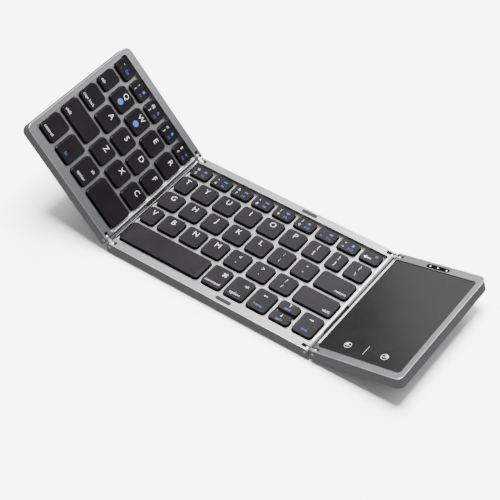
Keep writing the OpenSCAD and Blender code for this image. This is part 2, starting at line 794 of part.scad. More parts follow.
module right_frame() color(silver) at_right() difference() {
    union() {
        frame_top(right_w, true, false, lip_wing, 0);
        translate([0, 0, pad_z - pad_board_t]) linear_extrude(plate_z - pad_z + pad_board_t + eps)
            inner_plan(right_w, true, false, inner_fit);
    }
    translate([0, 0, pad_z]) linear_extrude(panel_t) pad_plan(inset_fit);
    linear_extrude(panel_t) pad_plan(-pad_ledge);
    translate([pad_mid, panel_d - window_inset, pad_z]) linear_extrude(panel_t)
        stadium(window_l + 2 * inset_fit, window_w + 2 * inset_fit);
    translate([pad_mid, panel_d - window_inset, 0]) linear_extrude(panel_t)
        stadium(window_l - 2 * window_ledge, window_w - 2 * window_ledge);
    translate([port_x - port_w / 2 - plate_fit, panel_d - wall - port_d, 0])
        cube([port_w + 2 * plate_fit, port_d, port_z + port_h / 2 + inner_fit]);
    link_slots();
    flex_cut(flex_right_at, flex_right_l, lip_wing);
}

// Children on the rear edge of the right wing, with z pointing out of the wall
module at_rear_wall(x, z) translate([x, panel_d, z]) rotate([-90, 0, 0]) children();

module right_shell() color(gunmetal) at_right() difference() {
    shell(right_w, true, false);
    flex_cut(flex_right_at, flex_right_l, lip_wing);
    at_rear_wall(port_x, port_z) translate([0, 0, -wall - over]) linear_extrude(wall + 2 * over)
        stadium(insert_l + 2 * port_fit, insert_h + 2 * port_fit);
    at_rear_wall(switch_x, switch_z) translate([0, 0, -wall - over]) linear_extrude(wall + 2 * over)
        stadium(switch_l, switch_h);
    at_rear_wall(pinhole_x, switch_z + pinhole_rise) translate([0, 0, -wall - over])
        cylinder(r = pinhole_r, h = wall + 2 * over);
}

module right_leather() at_right() leather(right_w, true, false);

module right_feet() at_right() feet(right_w);

module touchpad() color(charcoal) at_right() translate([0, 0, pad_z]) linear_extrude(pad_t) pad_plan(0);

module touchpad_board() color("green") at_right() translate([0, 0, pad_z - pad_board_t])
    linear_extrude(pad_board_t) pad_plan(-pad_ledge - inset_fit);

module battery() color("lightgray") at_right()
    translate([pad_mid - battery_w / 2, panel_d - wall - board_d - battery_gap - battery_d, floor_z])
        linear_extrude(battery_t) outline(battery_w, battery_d, battery_r, battery_r);

module main_board() color("green") at_right() difference() {
    translate([block_x + board_gap, panel_d - wall - plate_fit - board_d, floor_z])
        cube([right_w - block_x - board_gap - corner_r, board_d, board_t]);
    translate([pinhole_x, panel_d - wall - board_d / 2, 0]) cylinder(r = hole_r, h = panel_t);
}

module indicator_window() color("black") at_right() translate([pad_mid, panel_d - window_inset, pad_z])
    linear_extrude(panel_t - pad_z) stadium(window_l, window_w);

// Port shell, open at the rear edge, with its contact tongue
module usb_socket() color("lightgray") at_right() at_rear_wall(port_x, port_z)
    translate([0, 0, -port_d - port_back]) {
        linear_extrude(port_end) stadium(port_w, port_h);
        linear_extrude(port_d) difference() {
            stadium(port_w, port_h);
            stadium(port_w - 2 * port_sheet, port_h - 2 * port_sheet);
        }
        translate([-tongue_w / 2, -tongue_t / 2, 0]) cube([tongue_w, tongue_t, port_d - tongue_back]);
    }

module port_insert() color("darkslategray") at_right() at_rear_wall(port_x, port_z)
    translate([0, 0, -wall]) linear_extrude(wall) difference() {
        stadium(insert_l, insert_h);
        stadium(port_w + 2 * port_fit, port_h + 2 * port_fit);
    }

// Slide knob at its off end, with the stem that reaches into the switch
module power_switch() color("black") at_right() at_rear_wall(switch_x - knob_travel / 2, switch_z) {
    translate([0, 0, -wall - knob_fit]) linear_extrude(wall + knob_fit / 2)
        stadium(knob_l, switch_h - 2 * knob_fit);
    translate([0, 0, -wall - knob_fit - stem_l]) linear_extrude(stem_l + eps)
        square([stem_w, stem_h], center = true);
}

module switch_body() color("gray") at_right() difference() {
    case_z = floor_z + board_t;
    translate([switch_x - switch_l / 2 - track_end, panel_d - wall - switch_back - switch_d, case_z])
        cube([switch_l + 2 * track_end, switch_d, 2 * (switch_z - case_z)]);
    translate([switch_x - switch_l / 2, panel_d - wall - switch_back - track_d, switch_z - track_h / 2])
        cube([switch_l, track_d + over, track_h]);
}

// ---- hinges ----

// Link plate standing in the x-z plane, first eye at the origin, turned up by a
module link(a) rotate([90, -a, 0]) linear_extrude(link_t, center = true) difference() {
    union() {
        circle(link_r);
        translate([link_pitch, 0]) circle(link_r);
        translate([0, -link_bar / 2]) square([link_pitch, link_bar]);
    }
    for (x = [0, link_pitch]) translate([x, 0]) circle(pin_r + link_fit);
}

// Pin from a panel's front face, rearwards
module pin() rotate([-90, 0, 0]) {
    cylinder(r = head_r, h = head_t);
    cylinder(r = pin_r, h = pin_l);
}

// Children at the front and, mirrored, at the rear
module front_and_rear() for (s = [0, 1]) mirror([0, s, 0]) translate([0, -panel_d / 2, 0]) children();

link_y = cheek_out + slot_w / 2;

module left_links() color("gainsboro") front_and_rear()
    translate([centre_pin(-1)[0], link_y, centre_pin(-1)[1]]) mirror([1, 0, 0]) link(left_link_angle);

module right_links() color("gainsboro") front_and_rear()
    translate([centre_pin(1)[0], link_y, centre_pin(1)[1]]) link(right_link_angle);

module left_pins() color("darkgray") front_and_rear()
    for (p = [centre_pin(-1), left_pin]) translate([p[0], 0, p[1]]) pin();

module right_pins() color("darkgray") front_and_rear()
    for (p = [centre_pin(1), right_pin]) translate([p[0], 0, p[1]]) pin();

// Flat cable across a fold: through the centre panel's slit, over the gap, into the wing's slit
module flex(side, y, l, link_a, wing_a, lip) {
    c = centre_pin(side);
    w = wing_pin(side, link_a);
    out = [side * cos(wing_a), sin(wing_a)];
    reach = pin_drop - flex_notch;
    path = [c + [side * (pin_drop - lip), 0], c + [side * reach, 0], w - out * reach,
        w - out * (pin_drop - lip_wing)];
    width = l - 2 * flex_slit_in - flex_end;
    translate([0, y - panel_d / 2 + width / 2, 0]) rotate([90, 0, 0]) linear_extrude(width) {
        for (i = [0:2]) {
            run = path[i + 1] - path[i];
            translate(path[i]) rotate(atan2(run[1], run[0])) translate([0, -flex_t / 2])
                square([norm(run), flex_t]);
        }
        for (i = [1, 2]) translate(path[i]) circle(flex_t / 2, $fn = 24);
    }
}

module left_flex() color("black") flex(-1, flex_left_at, flex_left_l, left_link_angle, left_turn, lip_left);

module right_flex() color("black")
    flex(1, flex_right_at, flex_right_l, right_link_angle, right_turn, lip_right);

// ---- keys by node ----

module left_number_keys() for (i = [0:4]) left_key(0, i);
module left_top_letters() for (i = [1:4]) left_key(1, i);
module left_home_letters() for (i = [1:4]) left_key(2, i);
module left_bottom_letters() for (i = [1:3]) left_key(3, i);
module tab_key() left_key(1, 0);
module caps_lock_key() left_key(2, 0);
module left_shift_key() left_key(3, 0);
module control_key() left_key(4, 0);
module fn_key() left_key(4, 1);
module left_option_key() left_key(4, 2);
module left_space_bar() left_key(4, 3);
module right_number_keys() for (i = [0:7]) centre_key(0, i);
module backspace_key() centre_key(0, 8);
module right_top_letters() for (i = [0:7]) centre_key(1, i);
module backslash_key() centre_key(1, 8);
module right_home_letters() for (i = [0:6]) centre_key(2, i);
module return_key() centre_key(2, 7);
module right_bottom_letters() for (i = [0:6]) centre_key(3, i);
module right_shift_key() centre_key(3, 7);
module long_space_bar() centre_key(4, 0);
module command_key() centre_key(4, 1);
module right_option_key() centre_key(4, 2);
module arrow_left_key() centre_key(4, 3);
module arrow_up_key() half_key(1);
module arrow_down_key() half_key(0);
module arrow_right_key() centre_key(4, 5);

centre_shell();
centre_feet();
centre_base_plate();
left_frame();
left_leather();
left_base_plate();
right_frame();
right_leather();
touchpad();
battery();
indicator_window();
port_insert();
switch_body();
left_pins();
right_pins();
right_flex();
left_top_letters();
left_bottom_letters();
caps_lock_key();
control_key();
left_option_key();
right_number_keys();
right_top_letters();
right_home_letters();
right_bottom_letters();
long_space_bar();
right_option_key();
arrow_up_key();
arrow_right_key();

centre_frame();
centre_shell();
centre_leather();
centre_feet();
centre_bumpers();
centre_base_plate();
centre_domes();
left_frame();
left_shell();
left_leather();
left_feet();
left_base_plate();
left_domes();
right_frame();
right_shell();
right_leather();
right_feet();
touchpad();
touchpad_board();
battery();
main_board();
indicator_window();
usb_socket();
port_insert();
power_switch();
switch_body();
left_links();
left_pins();
right_links();
right_pins();
left_flex();
right_flex();
left_number_keys();
left_top_letters();
left_home_letters();
left_bottom_letters();
tab_key();
caps_lock_key();
left_shift_key();
control_key();
fn_key();
left_option_key();
left_space_bar();
right_number_keys();
backspace_key();
right_top_letters();
backslash_key();
right_home_letters();
return_key();
right_bottom_letters();
right_shift_key();
long_space_bar();
command_key();
right_option_key();
arrow_left_key();
arrow_up_key();
arrow_down_key();
arrow_right_key();
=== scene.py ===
"""Visual model of a three-panel folding keyboard: paint, keys, legends, trim, light and camera."""

import logging
import math
from dataclasses import dataclass, field
from enum import Enum

import bpy
import numpy as np
from mathutils import Matrix, Vector

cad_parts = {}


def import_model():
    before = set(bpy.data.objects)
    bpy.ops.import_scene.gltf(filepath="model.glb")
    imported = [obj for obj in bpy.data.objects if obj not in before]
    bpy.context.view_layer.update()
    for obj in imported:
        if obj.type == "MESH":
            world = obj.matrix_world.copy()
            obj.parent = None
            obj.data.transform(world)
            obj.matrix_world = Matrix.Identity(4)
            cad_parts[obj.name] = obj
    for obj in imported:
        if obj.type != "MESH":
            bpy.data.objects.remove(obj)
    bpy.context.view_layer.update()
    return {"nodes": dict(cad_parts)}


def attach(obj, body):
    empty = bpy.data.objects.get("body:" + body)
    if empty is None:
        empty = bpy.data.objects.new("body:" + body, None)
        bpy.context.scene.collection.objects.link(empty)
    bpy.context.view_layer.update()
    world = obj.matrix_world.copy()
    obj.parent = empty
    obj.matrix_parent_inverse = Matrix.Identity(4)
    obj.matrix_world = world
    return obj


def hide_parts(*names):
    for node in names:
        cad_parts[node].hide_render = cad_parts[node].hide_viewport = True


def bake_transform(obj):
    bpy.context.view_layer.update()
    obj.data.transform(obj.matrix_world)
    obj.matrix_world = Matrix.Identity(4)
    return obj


LOG = logging.getLogger("folding_keyboard")
MM = 0.001
TAU = 2.0 * math.pi

Array = np.ndarray
Material = bpy.types.Material
Piece = bpy.types.Object
Socket = bpy.types.NodeSocket
Pair = tuple[float, float]
Triple = tuple[float, float, float]
Box = tuple[float, float, float, float]
Colour = Triple
# Points (n x 2) and triangles (m x 3) of a flat shape
Flat = tuple[Array, Array]
# Points (n x 2) of a path in plan, and the outward directions there
Run = tuple[Array, Array]


# ---------------------------------------------------------------- sizes, in millimetres


class Side(Enum):
    """Which of the three panels a thing belongs to."""

    LEFT = "left_wing"
    CENTRE = "centre"
    RIGHT = "right_wing"


@dataclass(frozen=True)
class Sizes:
    """The sizes that all panels share."""

    depth: float = 98.0
    thick: float = 7.7
    foot: float = 0.7
    pin_drop: float = 2.7
    pitch: float = 5.8
    corner: float = 4.8
    fold_corner: float = 0.65
    bead: float = 0.5
    slot: float = 6.3
    key_drop: float = 0.7
    key_high: float = 3.2
    key_corner: float = 2.2
    key_gap: float = 2.8
    row_gap: float = 3.2
    half_gap: float = 2.2
    rim_rear: float = 5.6
    rim_front: float = 6.4
    gap_rear: float = 1.5
    gap_front: float = 2.7


SIZES = Sizes()


@dataclass(frozen=True)
class Panel:
    """One panel and how it stands.

    Its own x runs from its left edge, y from the front and z from the underside, in millimetres.
    """

    side: Side
    width: float
    pin_x: float
    pin_world: Pair
    turn: float

    def place(self, points: Array) -> Array:
        """Turns the panel about its pin by its angle and moves it to where the pin stands.

        Args:
            points: n x 3 array in the panel's own millimetres.

        Returns:
            n x 3 array in metres, in the part's frame.
        """
        c, s = math.cos(math.radians(self.turn)), math.sin(math.radians(self.turn))
        x = points[:, 0] - self.pin_x
        z = points[:, 2] - (SIZES.thick - SIZES.pin_drop)
        return MM * np.column_stack(
            (
                self.pin_world[0] + x * c + z * s,
                points[:, 1] - SIZES.depth / 2,
                self.pin_world[1] - x * s + z * c,
            )
        )


def hinge_point(side: int, angle: float) -> Pair:
    """The wing's pin: one link's pitch from the centre panel's pin, turned up by the angle.

    Args:
        side: -1 for the left fold and 1 for the right.
        angle: The link's turn from flat, in degrees.

    Returns:
        x and z in millimetres.
    """
    x = side * (CENTRE_W / 2 - SIZES.pin_drop + SIZES.pitch * math.cos(math.radians(angle)))
    return x, PIN_Z + SIZES.pitch * math.sin(math.radians(angle))


CENTRE_W = 152.0
LEFT_W = 87.8
WING_GAP = 0.7
RIGHT_W = CENTRE_W - LEFT_W - WING_GAP
PIN_Z = SIZES.foot + SIZES.thick - SIZES.pin_drop

# How far the links and the wings are turned up from flat, in degrees
LEFT_LINK, LEFT_TURN = 39.6, 47.9
RIGHT_LINK, RIGHT_TURN = 14.0, 14.0

CENTRE = Panel(Side.CENTRE, CENTRE_W, SIZES.pin_drop, (-CENTRE_W / 2 + SIZES.pin_drop, PIN_Z), 0.0)
LEFT = Panel(Side.LEFT, LEFT_W, LEFT_W - SIZES.pin_drop, hinge_point(-1, LEFT_LINK), LEFT_TURN)
RIGHT = Panel(Side.RIGHT, RIGHT_W, SIZES.pin_drop, hinge_point(1, RIGHT_LINK), -RIGHT_TURN)
PANELS = (LEFT, CENTRE, RIGHT)


@dataclass(frozen=True)
class Well:
    """The opening in a panel's rim: its left, right, front and rear side, and its corner radius."""

    left: float
    right: float
    front: float = SIZES.rim_front
    rear: float = SIZES.depth - SIZES.rim_rear
    corner: float = 1.6

    @property
    def box(self) -> Box:
        """The four sides."""
        return self.left, self.right, self.front, self.rear


WELLS = {
    Side.LEFT: Well(3.1, LEFT_W - 3.2),
    Side.CENTRE: Well(1.8, CENTRE_W - 2.9),
    Side.RIGHT: Well(3.2, RIGHT_W - 3.5, 5.2, SIZES.depth - 6.0, 2.0),
}


# ---------------------------------------------------------------- mesh building


class Shape:
    """Points and faces gathered from several surfaces, which become one mesh."""

    def __init__(self) -> None:
        """Starts an empty shape."""
        self.points: list[Array] = []
        self.rings: list[Array] = []
        self.counts: list[Array] = []
        self.slots: list[Array] = []
        self.size = 0

    def add(self, points: Array, faces: Array, slot: int = 0) -> None:
        """Adds one surface.

        Args:
            points: n x 3 array of points in metres.
            faces: m x 3 or m x 4 array of point numbers, counted from this surface's first point.
            slot: Which material the faces take.
        """
        if len(faces) == 0:
            return
        self.points.append(points)
        self.rings.append((faces + self.size).ravel())
        self.counts.append(np.full(len(faces), faces.shape[1]))
        self.slots.append(np.full(len(faces), slot))
        self.size += len(points)

    def build(self, name: str, materials: list[Material], sharp: float = 32.0) -> Piece:
        """Makes the object, smooth except where faces meet at more than the given angle.

        Args:
            name: The piece's name.
            materials: One material for each slot number.
            sharp: Angle in degrees above which an edge stays sharp.

        Returns:
            The new object, at the origin, with its place in its mesh.
        """
        points = np.concatenate(self.points)
        ring = np.concatenate(self.rings)
        count = np.concatenate(self.counts)
        mesh = bpy.data.meshes.new(name)
        mesh.vertices.add(len(points))
        mesh.vertices.foreach_set("co", points.astype(np.float32).ravel())
        mesh.loops.add(len(ring))
        mesh.loops.foreach_set("vertex_index", ring.astype(np.int32))
        mesh.polygons.add(len(count))
        mesh.polygons.foreach_set("loop_start", (np.cumsum(count) - count).astype(np.int32))
        mesh.polygons.foreach_set("loop_total", count.astype(np.int32))
        for material in materials:
            mesh.materials.append(material)
        mesh.polygons.foreach_set("material_index", np.concatenate(self.slots).astype(np.int32))
        mesh.update(calc_edges=True)
        mesh.validate()
        mesh.shade_smooth()
        mesh.set_sharp_from_angle(angle=math.radians(sharp))
        made = bpy.data.objects.new(name, mesh)
        bpy.context.scene.collection.objects.link(made)
        return made


def rounded_loop(w: float, d: float, radii: Pair, inset: float, steps: int = 8) -> Array:
    """Rounded rectangle, walked anticlockwise from its front right corner.

    Each corner is a quarter circle of its radius less the inset, about a fixed centre, so that insets stay
    parallel.

    Args:
        w: Width along x.
        d: Depth along y.
        radii: Corner radius at the left end and at the right end.
        inset: How far the loop is drawn in from the outline.
        steps: Segments in each corner.

    Returns:
        n x 2 array of points, with the outline's front left corner at the origin.
    """
    sharpest = 0.02
    turn = np.linspace(0.0, TAU / 4, steps + 1)
    out = []
    for quarter, right, rear in ((-1, 1, -1), (0, 1, 1), (1, -1, 1), (2, -1, -1)):
        r = radii[1] if right > 0 else radii[0]
        a = turn + quarter * TAU / 4
        reach = max(r - inset, sharpest)
        short = r - inset - reach
        x = (w - r if right > 0 else r) + reach * np.cos(a) + short * right
        y = (d - r if rear > 0 else r) + reach * np.sin(a) + short * rear
        out.append(np.column_stack((x, y)))
    return np.concatenate(out)


def grid_faces(rows: int, cols: int, wrap: bool) -> Array:
    """Quads between neighbouring rows of a grid of points.

    Args:
        rows: Number of rows.
        cols: Points in a row.
        wrap: Whether the last point of a row joins its first.

    Returns:
        m x 4 array of point numbers.
    """
    i = np.arange(rows - 1)[:, None]
    j = np.arange(cols if wrap else cols - 1)[None, :]
    k = (j + 1) % cols
    corners = (i * cols + j, i * cols + k, (i + 1) * cols + k, (i + 1) * cols + j)
    return np.stack(np.broadcast_arrays(*corners), axis=-1).reshape(-1, 4)


def settle(piece: Piece, body: str) -> Piece:
    """Lets a piece ride on a body.

    Args:
        piece: The piece.
        body: The body that carries it.

    Returns:
        The same piece.
    """
    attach(piece, body)
    return piece


def unit(rows: Array) -> Array:
    """Each row scaled to a length of 1."""
    return rows / np.linalg.norm(rows, axis=1, keepdims=True)


# ---------------------------------------------------------------- finishes


class Nodes:
    """Short calls for wiring one material."""

    def __init__(self, name: str) -> None:
        """Starts a material with an empty shader.

        Args:
            name: The material's name.
        """
        self.material = bpy.data.materials.new(name)
        self.material.use_nodes = True
        self.tree = self.material.node_tree
        self.tree.nodes.clear()
        self.shader = self.add("BsdfPrincipled")
        self.add("OutputMaterial", Surface=self.shader.outputs["BSDF"])
        self.place = self.add("TexCoord").outputs["Object"]

    def add(self, kind: str, **inputs: Socket | float | tuple[float, ...]) -> bpy.types.Node:
        """Adds a node. An input is linked where its value is a socket, and set where it is a constant.

        Args:
            kind: What follows "ShaderNode" in the node's type.
            inputs: Values by input name, with spaces written as underscores.

        Returns:
            The node.
        """
        node = self.tree.nodes.new("ShaderNode" + kind)
        for name, value in inputs.items():
            spot = node.inputs[name.replace("_", " ")]
            if isinstance(value, Socket):
                self.tree.links.new(value, spot)
            else:
                spot.default_value = value
        return node

    def set(self, **values: float | tuple[float, ...]) -> None:
        """Sets constants on the shader's own sockets, with spaces in socket names written as underscores."""
        for name, value in values.items():
            self.shader.inputs[name.replace("_", " ")].default_value = value

    def mapped(self, scale: Triple = (1.0, 1.0, 1.0), turn: float = 0.0) -> Socket:
        """Object coordinates, scaled, and turned about y by an angle in degrees."""
        turned = (0.0, math.radians(turn), 0.0)
        return self.add("Mapping", Vector=self.place, Scale=scale, Rotation=turned).outputs["Vector"]

    def noise(
        self, vector: Socket, scale: float, detail: float = 3.0, rough: float = 0.5
    ) -> Socket:
        """Fractal noise value from 0 to 1."""
        return self.add("TexNoise", Vector=vector, Scale=scale, Detail=detail, Roughness=rough).outputs["Fac"]

    def cells(self, vector: Socket, scale: float, feature: str = "F1") -> Socket:
        """Distance in a cell pattern.

        Args:
            vector: Where the pattern is read.
            scale: Cells in a metre.
            feature: Which distance is meant.

        Returns:
            Distance, as a share of a cell.
        """
        node = self.add("TexVoronoi", Vector=vector, Scale=scale)
        node.feature = feature
        return node.outputs["Distance"]

    def ramp(
        self, value: Socket, low: float, high: float, a: tuple[float, ...], b: tuple[float, ...]
    ) -> Socket:
        """Colour that runs from a to b as value goes from low to high.

        Args:
            value: What the colour follows.
            low: Value of the first colour.
            high: Value of the second colour.
            a: First colour.
            b: Second colour.

        Returns:
            The colour.
        """
        node = self.add("ValToRGB", Fac=value)
        for stop, place, tone in zip(node.color_ramp.elements, (low, high), (a, b)):
            stop.position = place
            stop.color = (*tone[:3], 1.0)
        return node.outputs["Color"]

    def span(
        self, value: Socket, a: float, b: float, low: float = 0.0, high: float = 1.0
    ) -> Socket:
        """Number that runs from a to b as value goes from low to high."""
        node = self.add("MapRange", Value=value, From_Min=low, From_Max=high, To_Min=a, To_Max=b)
        return node.outputs["Result"]

    def math(self, kind: str, a: Socket, b: Socket | float) -> Socket:
        """One arithmetic step.

        Args:
            kind: The step's name.
            a: First term.
            b: Second term.

        Returns:
            The result.
        """
        node = self.add("Math")
        node.operation = kind
        self.tree.links.new(a, node.inputs[0])
        if isinstance(b, (int, float)):
            node.inputs[1].default_value = b
        else:
            self.tree.links.new(b, node.inputs[1])
        return node.outputs[0]

    def bump(self, height: Socket, strength: float, distance: float) -> None:
        """Roughens the surface by a height pattern, whose full range is the distance in metres."""
        node = self.add("Bump", Strength=strength, Distance=distance, Height=height)
        self.join(node.outputs["Normal"], "Normal")

    def join(self, socket: Socket, name: str) -> None:
        """Feeds one of the shader's inputs."""
        self.tree.links.new(socket, self.shader.inputs[name])


def grey(tone: float, blue: float) -> Colour:
    """A grey with its own amount of blue."""
    return tone, tone, blue


@dataclass(frozen=True)
class Satin:
    """Metal or metallic paint with a fine flake, faint clouding and a soft shine."""

    name: str
    dark: Colour
    light: Colour
    metal: float
    rough: Pair
    flake: float = 9000.0
    depth: float = 0.00002
    stretch: Triple = (1.0, 1.0, 1.0)
    cloud: float = 28.0
    strength: float = 0.08
    cloud_share: float = 0.6
    colour_span: Pair = (0.32, 0.68)
    rough_span: Pair = (0.3, 0.7)

    def make(self) -> Material:
        """Builds the material.

        Returns:
            The material.
        """
        n = Nodes(self.name)
        at = n.mapped(self.stretch)
        cloud = n.noise(at, self.cloud, 4.0)
        flake = n.noise(at, self.flake, 2.0, 0.6)
        coarse = n.math("MULTIPLY", cloud, self.cloud_share)
        both = n.math("ADD", coarse, n.math("MULTIPLY", flake, 1.0 - self.cloud_share))
        n.join(n.ramp(both, *self.colour_span, self.dark, self.light), "Base Color")
        n.join(n.span(both, *self.rough, *self.rough_span), "Roughness")
        n.set(Metallic=self.metal)
        n.bump(flake, self.strength, self.depth)
        return n.material


@dataclass(frozen=True)
class Moulded:
    """Moulded plastic or rubber with a spark-eroded grain."""

    name: str
    dark: Colour
    light: Colour
    rough: Pair
    grain: float = 5200.0
    strength: float = 0.25
    depth: float = 0.00003
    specular: float = 0.5
    cloud: float = 60.0
    cloud_span: Pair = (0.3, 0.7)

    def make(self) -> Material:
        """Builds the material.

        Returns:
            The material.
        """
        n = Nodes(self.name)
        at = n.mapped()
        cloud = n.noise(at, self.cloud, 5.0, 0.6)
        grain = n.cells(at, self.grain)
        n.join(n.ramp(cloud, *self.cloud_span, self.dark, self.light), "Base Color")
        n.join(n.span(cloud, *self.rough, *self.cloud_span), "Roughness")
        n.set(Specular_IOR_Level=self.specular)
        n.bump(grain, self.strength, self.depth)
        return n.material


@dataclass(frozen=True)
class Leather:
    """Pebbled leather-cloth: rounded cells and finer folds, with dark creases, turned with its panel."""

    name: str
    crease: Colour
    crown: Colour
    turn: float
    cell: float = 1250.0
    specular: float = 0.12
    strength: float = 0.55
    depth: float = 0.00012
    fold: float = 0.35
    cell_share: float = 0.55
    rough: Pair = (0.72, 0.5)
    colour_span: Pair = (0.02, 0.34)
    rough_span: Pair = (0.0, 0.4)

    def make(self) -> Material:
        """Builds the material.

        Returns:
            The material.
        """
        n = Nodes(self.name)
        at = n.mapped(turn=self.turn)
        cell = n.cells(at, self.cell, "SMOOTH_F1")
        fold = n.noise(at, self.cell * self.fold, 6.0, 0.62)
        height = n.math("SUBTRACT", fold, n.math("MULTIPLY", cell, self.cell_share))
        n.join(n.ramp(height, *self.colour_span, self.crease, self.crown), "Base Color")
        n.join(n.span(height, *self.rough, *self.rough_span), "Roughness")
        n.set(Specular_IOR_Level=self.specular)
        n.bump(height, self.strength, self.depth)
        return n.material


@dataclass(frozen=True)
class Ink:
    """Printed ink with a slightly broken edge tone."""

    name: str
    tone: Colour
    glow: float = 0.0
    grain: float = 2600.0
    worn: float = 0.86
    rough: Pair = (0.5, 0.62)
    wear_span: Pair = (0.3, 0.6)

    def make(self) -> Material:
        """Builds the material.

        Returns:
            The material.
        """
        n = Nodes(self.name)
        wear = n.noise(n.mapped(), self.grain)
        low = tuple(self.worn * v for v in self.tone)
        n.join(n.ramp(wear, *self.wear_span, low, self.tone), "Base Color")
        n.join(n.span(wear, *self.rough), "Roughness")
        if self.glow:
            n.set(Emission_Color=(*self.tone, 1.0), Emission_Strength=self.glow)
        return n.material


@dataclass(frozen=True)
class Board:
    """Circuit board: solder mask with lighter tracks along the edges of a cell pattern."""

    name: str
    mask: Colour
    track: Colour
    pitch: float = 420.0
    edge_span: Pair = (0.04, 0.1)
    rough: Pair = (0.3, 0.45)
    strength: float = 0.2
    depth: float = 0.00002

    def make(self) -> Material:
        """Builds the material.

        Returns:
            The material.
        """
        n = Nodes(self.name)
        tracks = n.cells(n.mapped(), self.pitch, "DISTANCE_TO_EDGE")
        n.join(n.ramp(tracks, *self.edge_span, self.track, self.mask), "Base Color")
        n.join(n.span(tracks, *self.rough), "Roughness")
        n.bump(tracks, self.strength, self.depth)
        return n.material


class Finishes:
    """Every material of the keyboard, made once."""

    def __init__(self) -> None:
        """Makes the materials."""
        self.rim = Satin("rim_satin", grey(0.195, 0.2), grey(0.22, 0.225), 1.0, (0.27, 0.31)).make()
        self.shell = Satin(
            "shell_gunmetal", (0.21, 0.206, 0.215), (0.25, 0.246, 0.256), 1.0, (0.33, 0.4)
        ).make()
        self.bead = Satin("polished_bead", grey(0.28, 0.288), grey(0.34, 0.348), 1.0, (0.18, 0.26)).make()
        # painted highlight: a much lighter, more diffuse copy of the rim paint for the fold edges, which
        # catch the light
        self.lip = Satin("lip_painted_highlight", grey(0.42, 0.43), grey(0.5, 0.51), 0.5, (0.45, 0.52)).make()
        self.chrome = Satin("polished_link", grey(0.62, 0.64), grey(0.78, 0.80), 1.0, (0.14, 0.22)).make()
        self.pin = Satin("turned_pin", grey(0.52, 0.54), grey(0.68, 0.70), 1.0, (0.24, 0.34), 3400.0).make()
        self.steel = Satin(
            "plain_steel", grey(0.45, 0.47), grey(0.6, 0.62), 1.0, (0.3, 0.42),
            flake=2600.0, stretch=(1.0, 0.06, 1.0),
        ).make()
        self.foil = Satin(
            "battery_foil", grey(0.5, 0.52), grey(0.66, 0.68), 0.9, (0.38, 0.6), flake=700.0, depth=0.0001
        ).make()
        self.leather = {
            panel.side: Leather(
                f"leather_{panel.side.value}", grey(0.0045, 0.0048), grey(0.0145, 0.0151), panel.turn
            ).make()
            for panel in PANELS
        }
        self.rubber = Moulded(
            "foot_rubber", grey(0.003, 0.0032), grey(0.006, 0.0065), (0.62, 0.78), specular=0.2
        ).make()
        self.key = Moulded(
            "key_charcoal", (0.0017, 0.0013, 0.0018), (0.0028, 0.0022, 0.0029), (0.36, 0.42),
            grain=6400.0, strength=0.12, depth=0.000015, specular=0.085,
        ).make()
        self.pad = Moulded(
            "touch_surface", grey(0.002, 0.0021), grey(0.003, 0.0032), (0.16, 0.19),
            grain=7000.0, strength=0.05, depth=0.00001, specular=0.34,
        ).make()
        self.window = Moulded(
            "smoked_window", grey(0.0006, 0.0007), grey(0.0010, 0.0011), (0.26, 0.32),
            grain=7000.0, strength=0.02, depth=0.00001, specular=0.03,
        ).make()
        self.port = Moulded(
            "port_plastic", (0.012, 0.013, 0.013), (0.018, 0.02, 0.019), (0.38, 0.5), specular=0.3
        ).make()
        self.knob = Moulded(
            "knob_plastic", grey(0.004, 0.0043), grey(0.007, 0.0075), (0.45, 0.58), specular=0.3
        ).make()
        self.case = Moulded("switch_case", grey(0.012, 0.013), grey(0.018, 0.02), (0.45, 0.6)).make()
        self.silicone = Moulded("dome_silicone", (0.2, 0.205, 0.21), (0.26, 0.265, 0.27), (0.42, 0.55)).make()
        self.film = Moulded(
            "flex_film", (0.003, 0.0025, 0.002), (0.007, 0.0055, 0.004), (0.3, 0.42), grain=900.0
        ).make()
        self.board = Board("green_board", (0.012, 0.075, 0.035), (0.05, 0.16, 0.07)).make()
        self.white = Ink("white_ink", grey(0.33, 0.335)).make()
        self.blue = Ink("blue_ink", (0.008, 0.034, 0.17)).make()
        # The same near-black ink also draws the painted shade of the seam groove along each rim.
        self.dark = Ink("dark_ink_and_seam_shade", (0.004, 0.005, 0.012)).make()
        self.light = Ink("white_light", (0.95, 0.96, 1.0), glow=1.6).make()

    def nodes(self) -> dict[str, Material]:
        """Which material each carried-over solid takes. Those that aren't named here are keys.

        Returns:
            Materials by the solid's name.
        """
        out = {
            "centre_bumpers": self.rubber,
            "touchpad": self.pad,
            "touchpad_board": self.board,
            "main_board": self.board,
            "battery": self.foil,
            "indicator_window": self.window,
            "usb_socket": self.steel,
            "port_insert": self.port,
            "power_switch": self.knob,
            "switch_body": self.case,
        }
        for name, side in (("left", Side.LEFT), ("centre", Side.CENTRE), ("right", Side.RIGHT)):
            out[f"{name}_frame"] = self.rim
            out[f"{name}_shell"] = self.shell
            out[f"{name}_feet"] = self.rubber
            out[f"{name}_leather"] = self.leather[side]
            if side is not Side.RIGHT:
                out[f"{name}_base_plate"] = self.steel
                out[f"{name}_domes"] = self.silicone
            if side is not Side.CENTRE:
                out[f"{name}_links"] = self.chrome
                out[f"{name}_pins"] = self.pin
                out[f"{name}_flex"] = self.film
        return out


def dress_solids(frame: dict, finishes: Finishes) -> None:
    """Gives every carried-over solid its material.

    Args:
        finishes: The materials.
    """
    chosen = finishes.nodes()
    for name, solid in frame["nodes"].items():
        material = chosen.get(name, finishes.key)
        slots = solid.data.materials
        if not slots:
            slots.append(material)
        for i in range(len(slots)):
            slots[i] = material
    LOG.info("dressed %d solids", len(frame["nodes"]))


# ---------------------------------------------------------------- printed marks


class Print(Enum):
    """Ink layers of a key."""

    WHITE = 1
    BLUE = 2
    DARK = 3


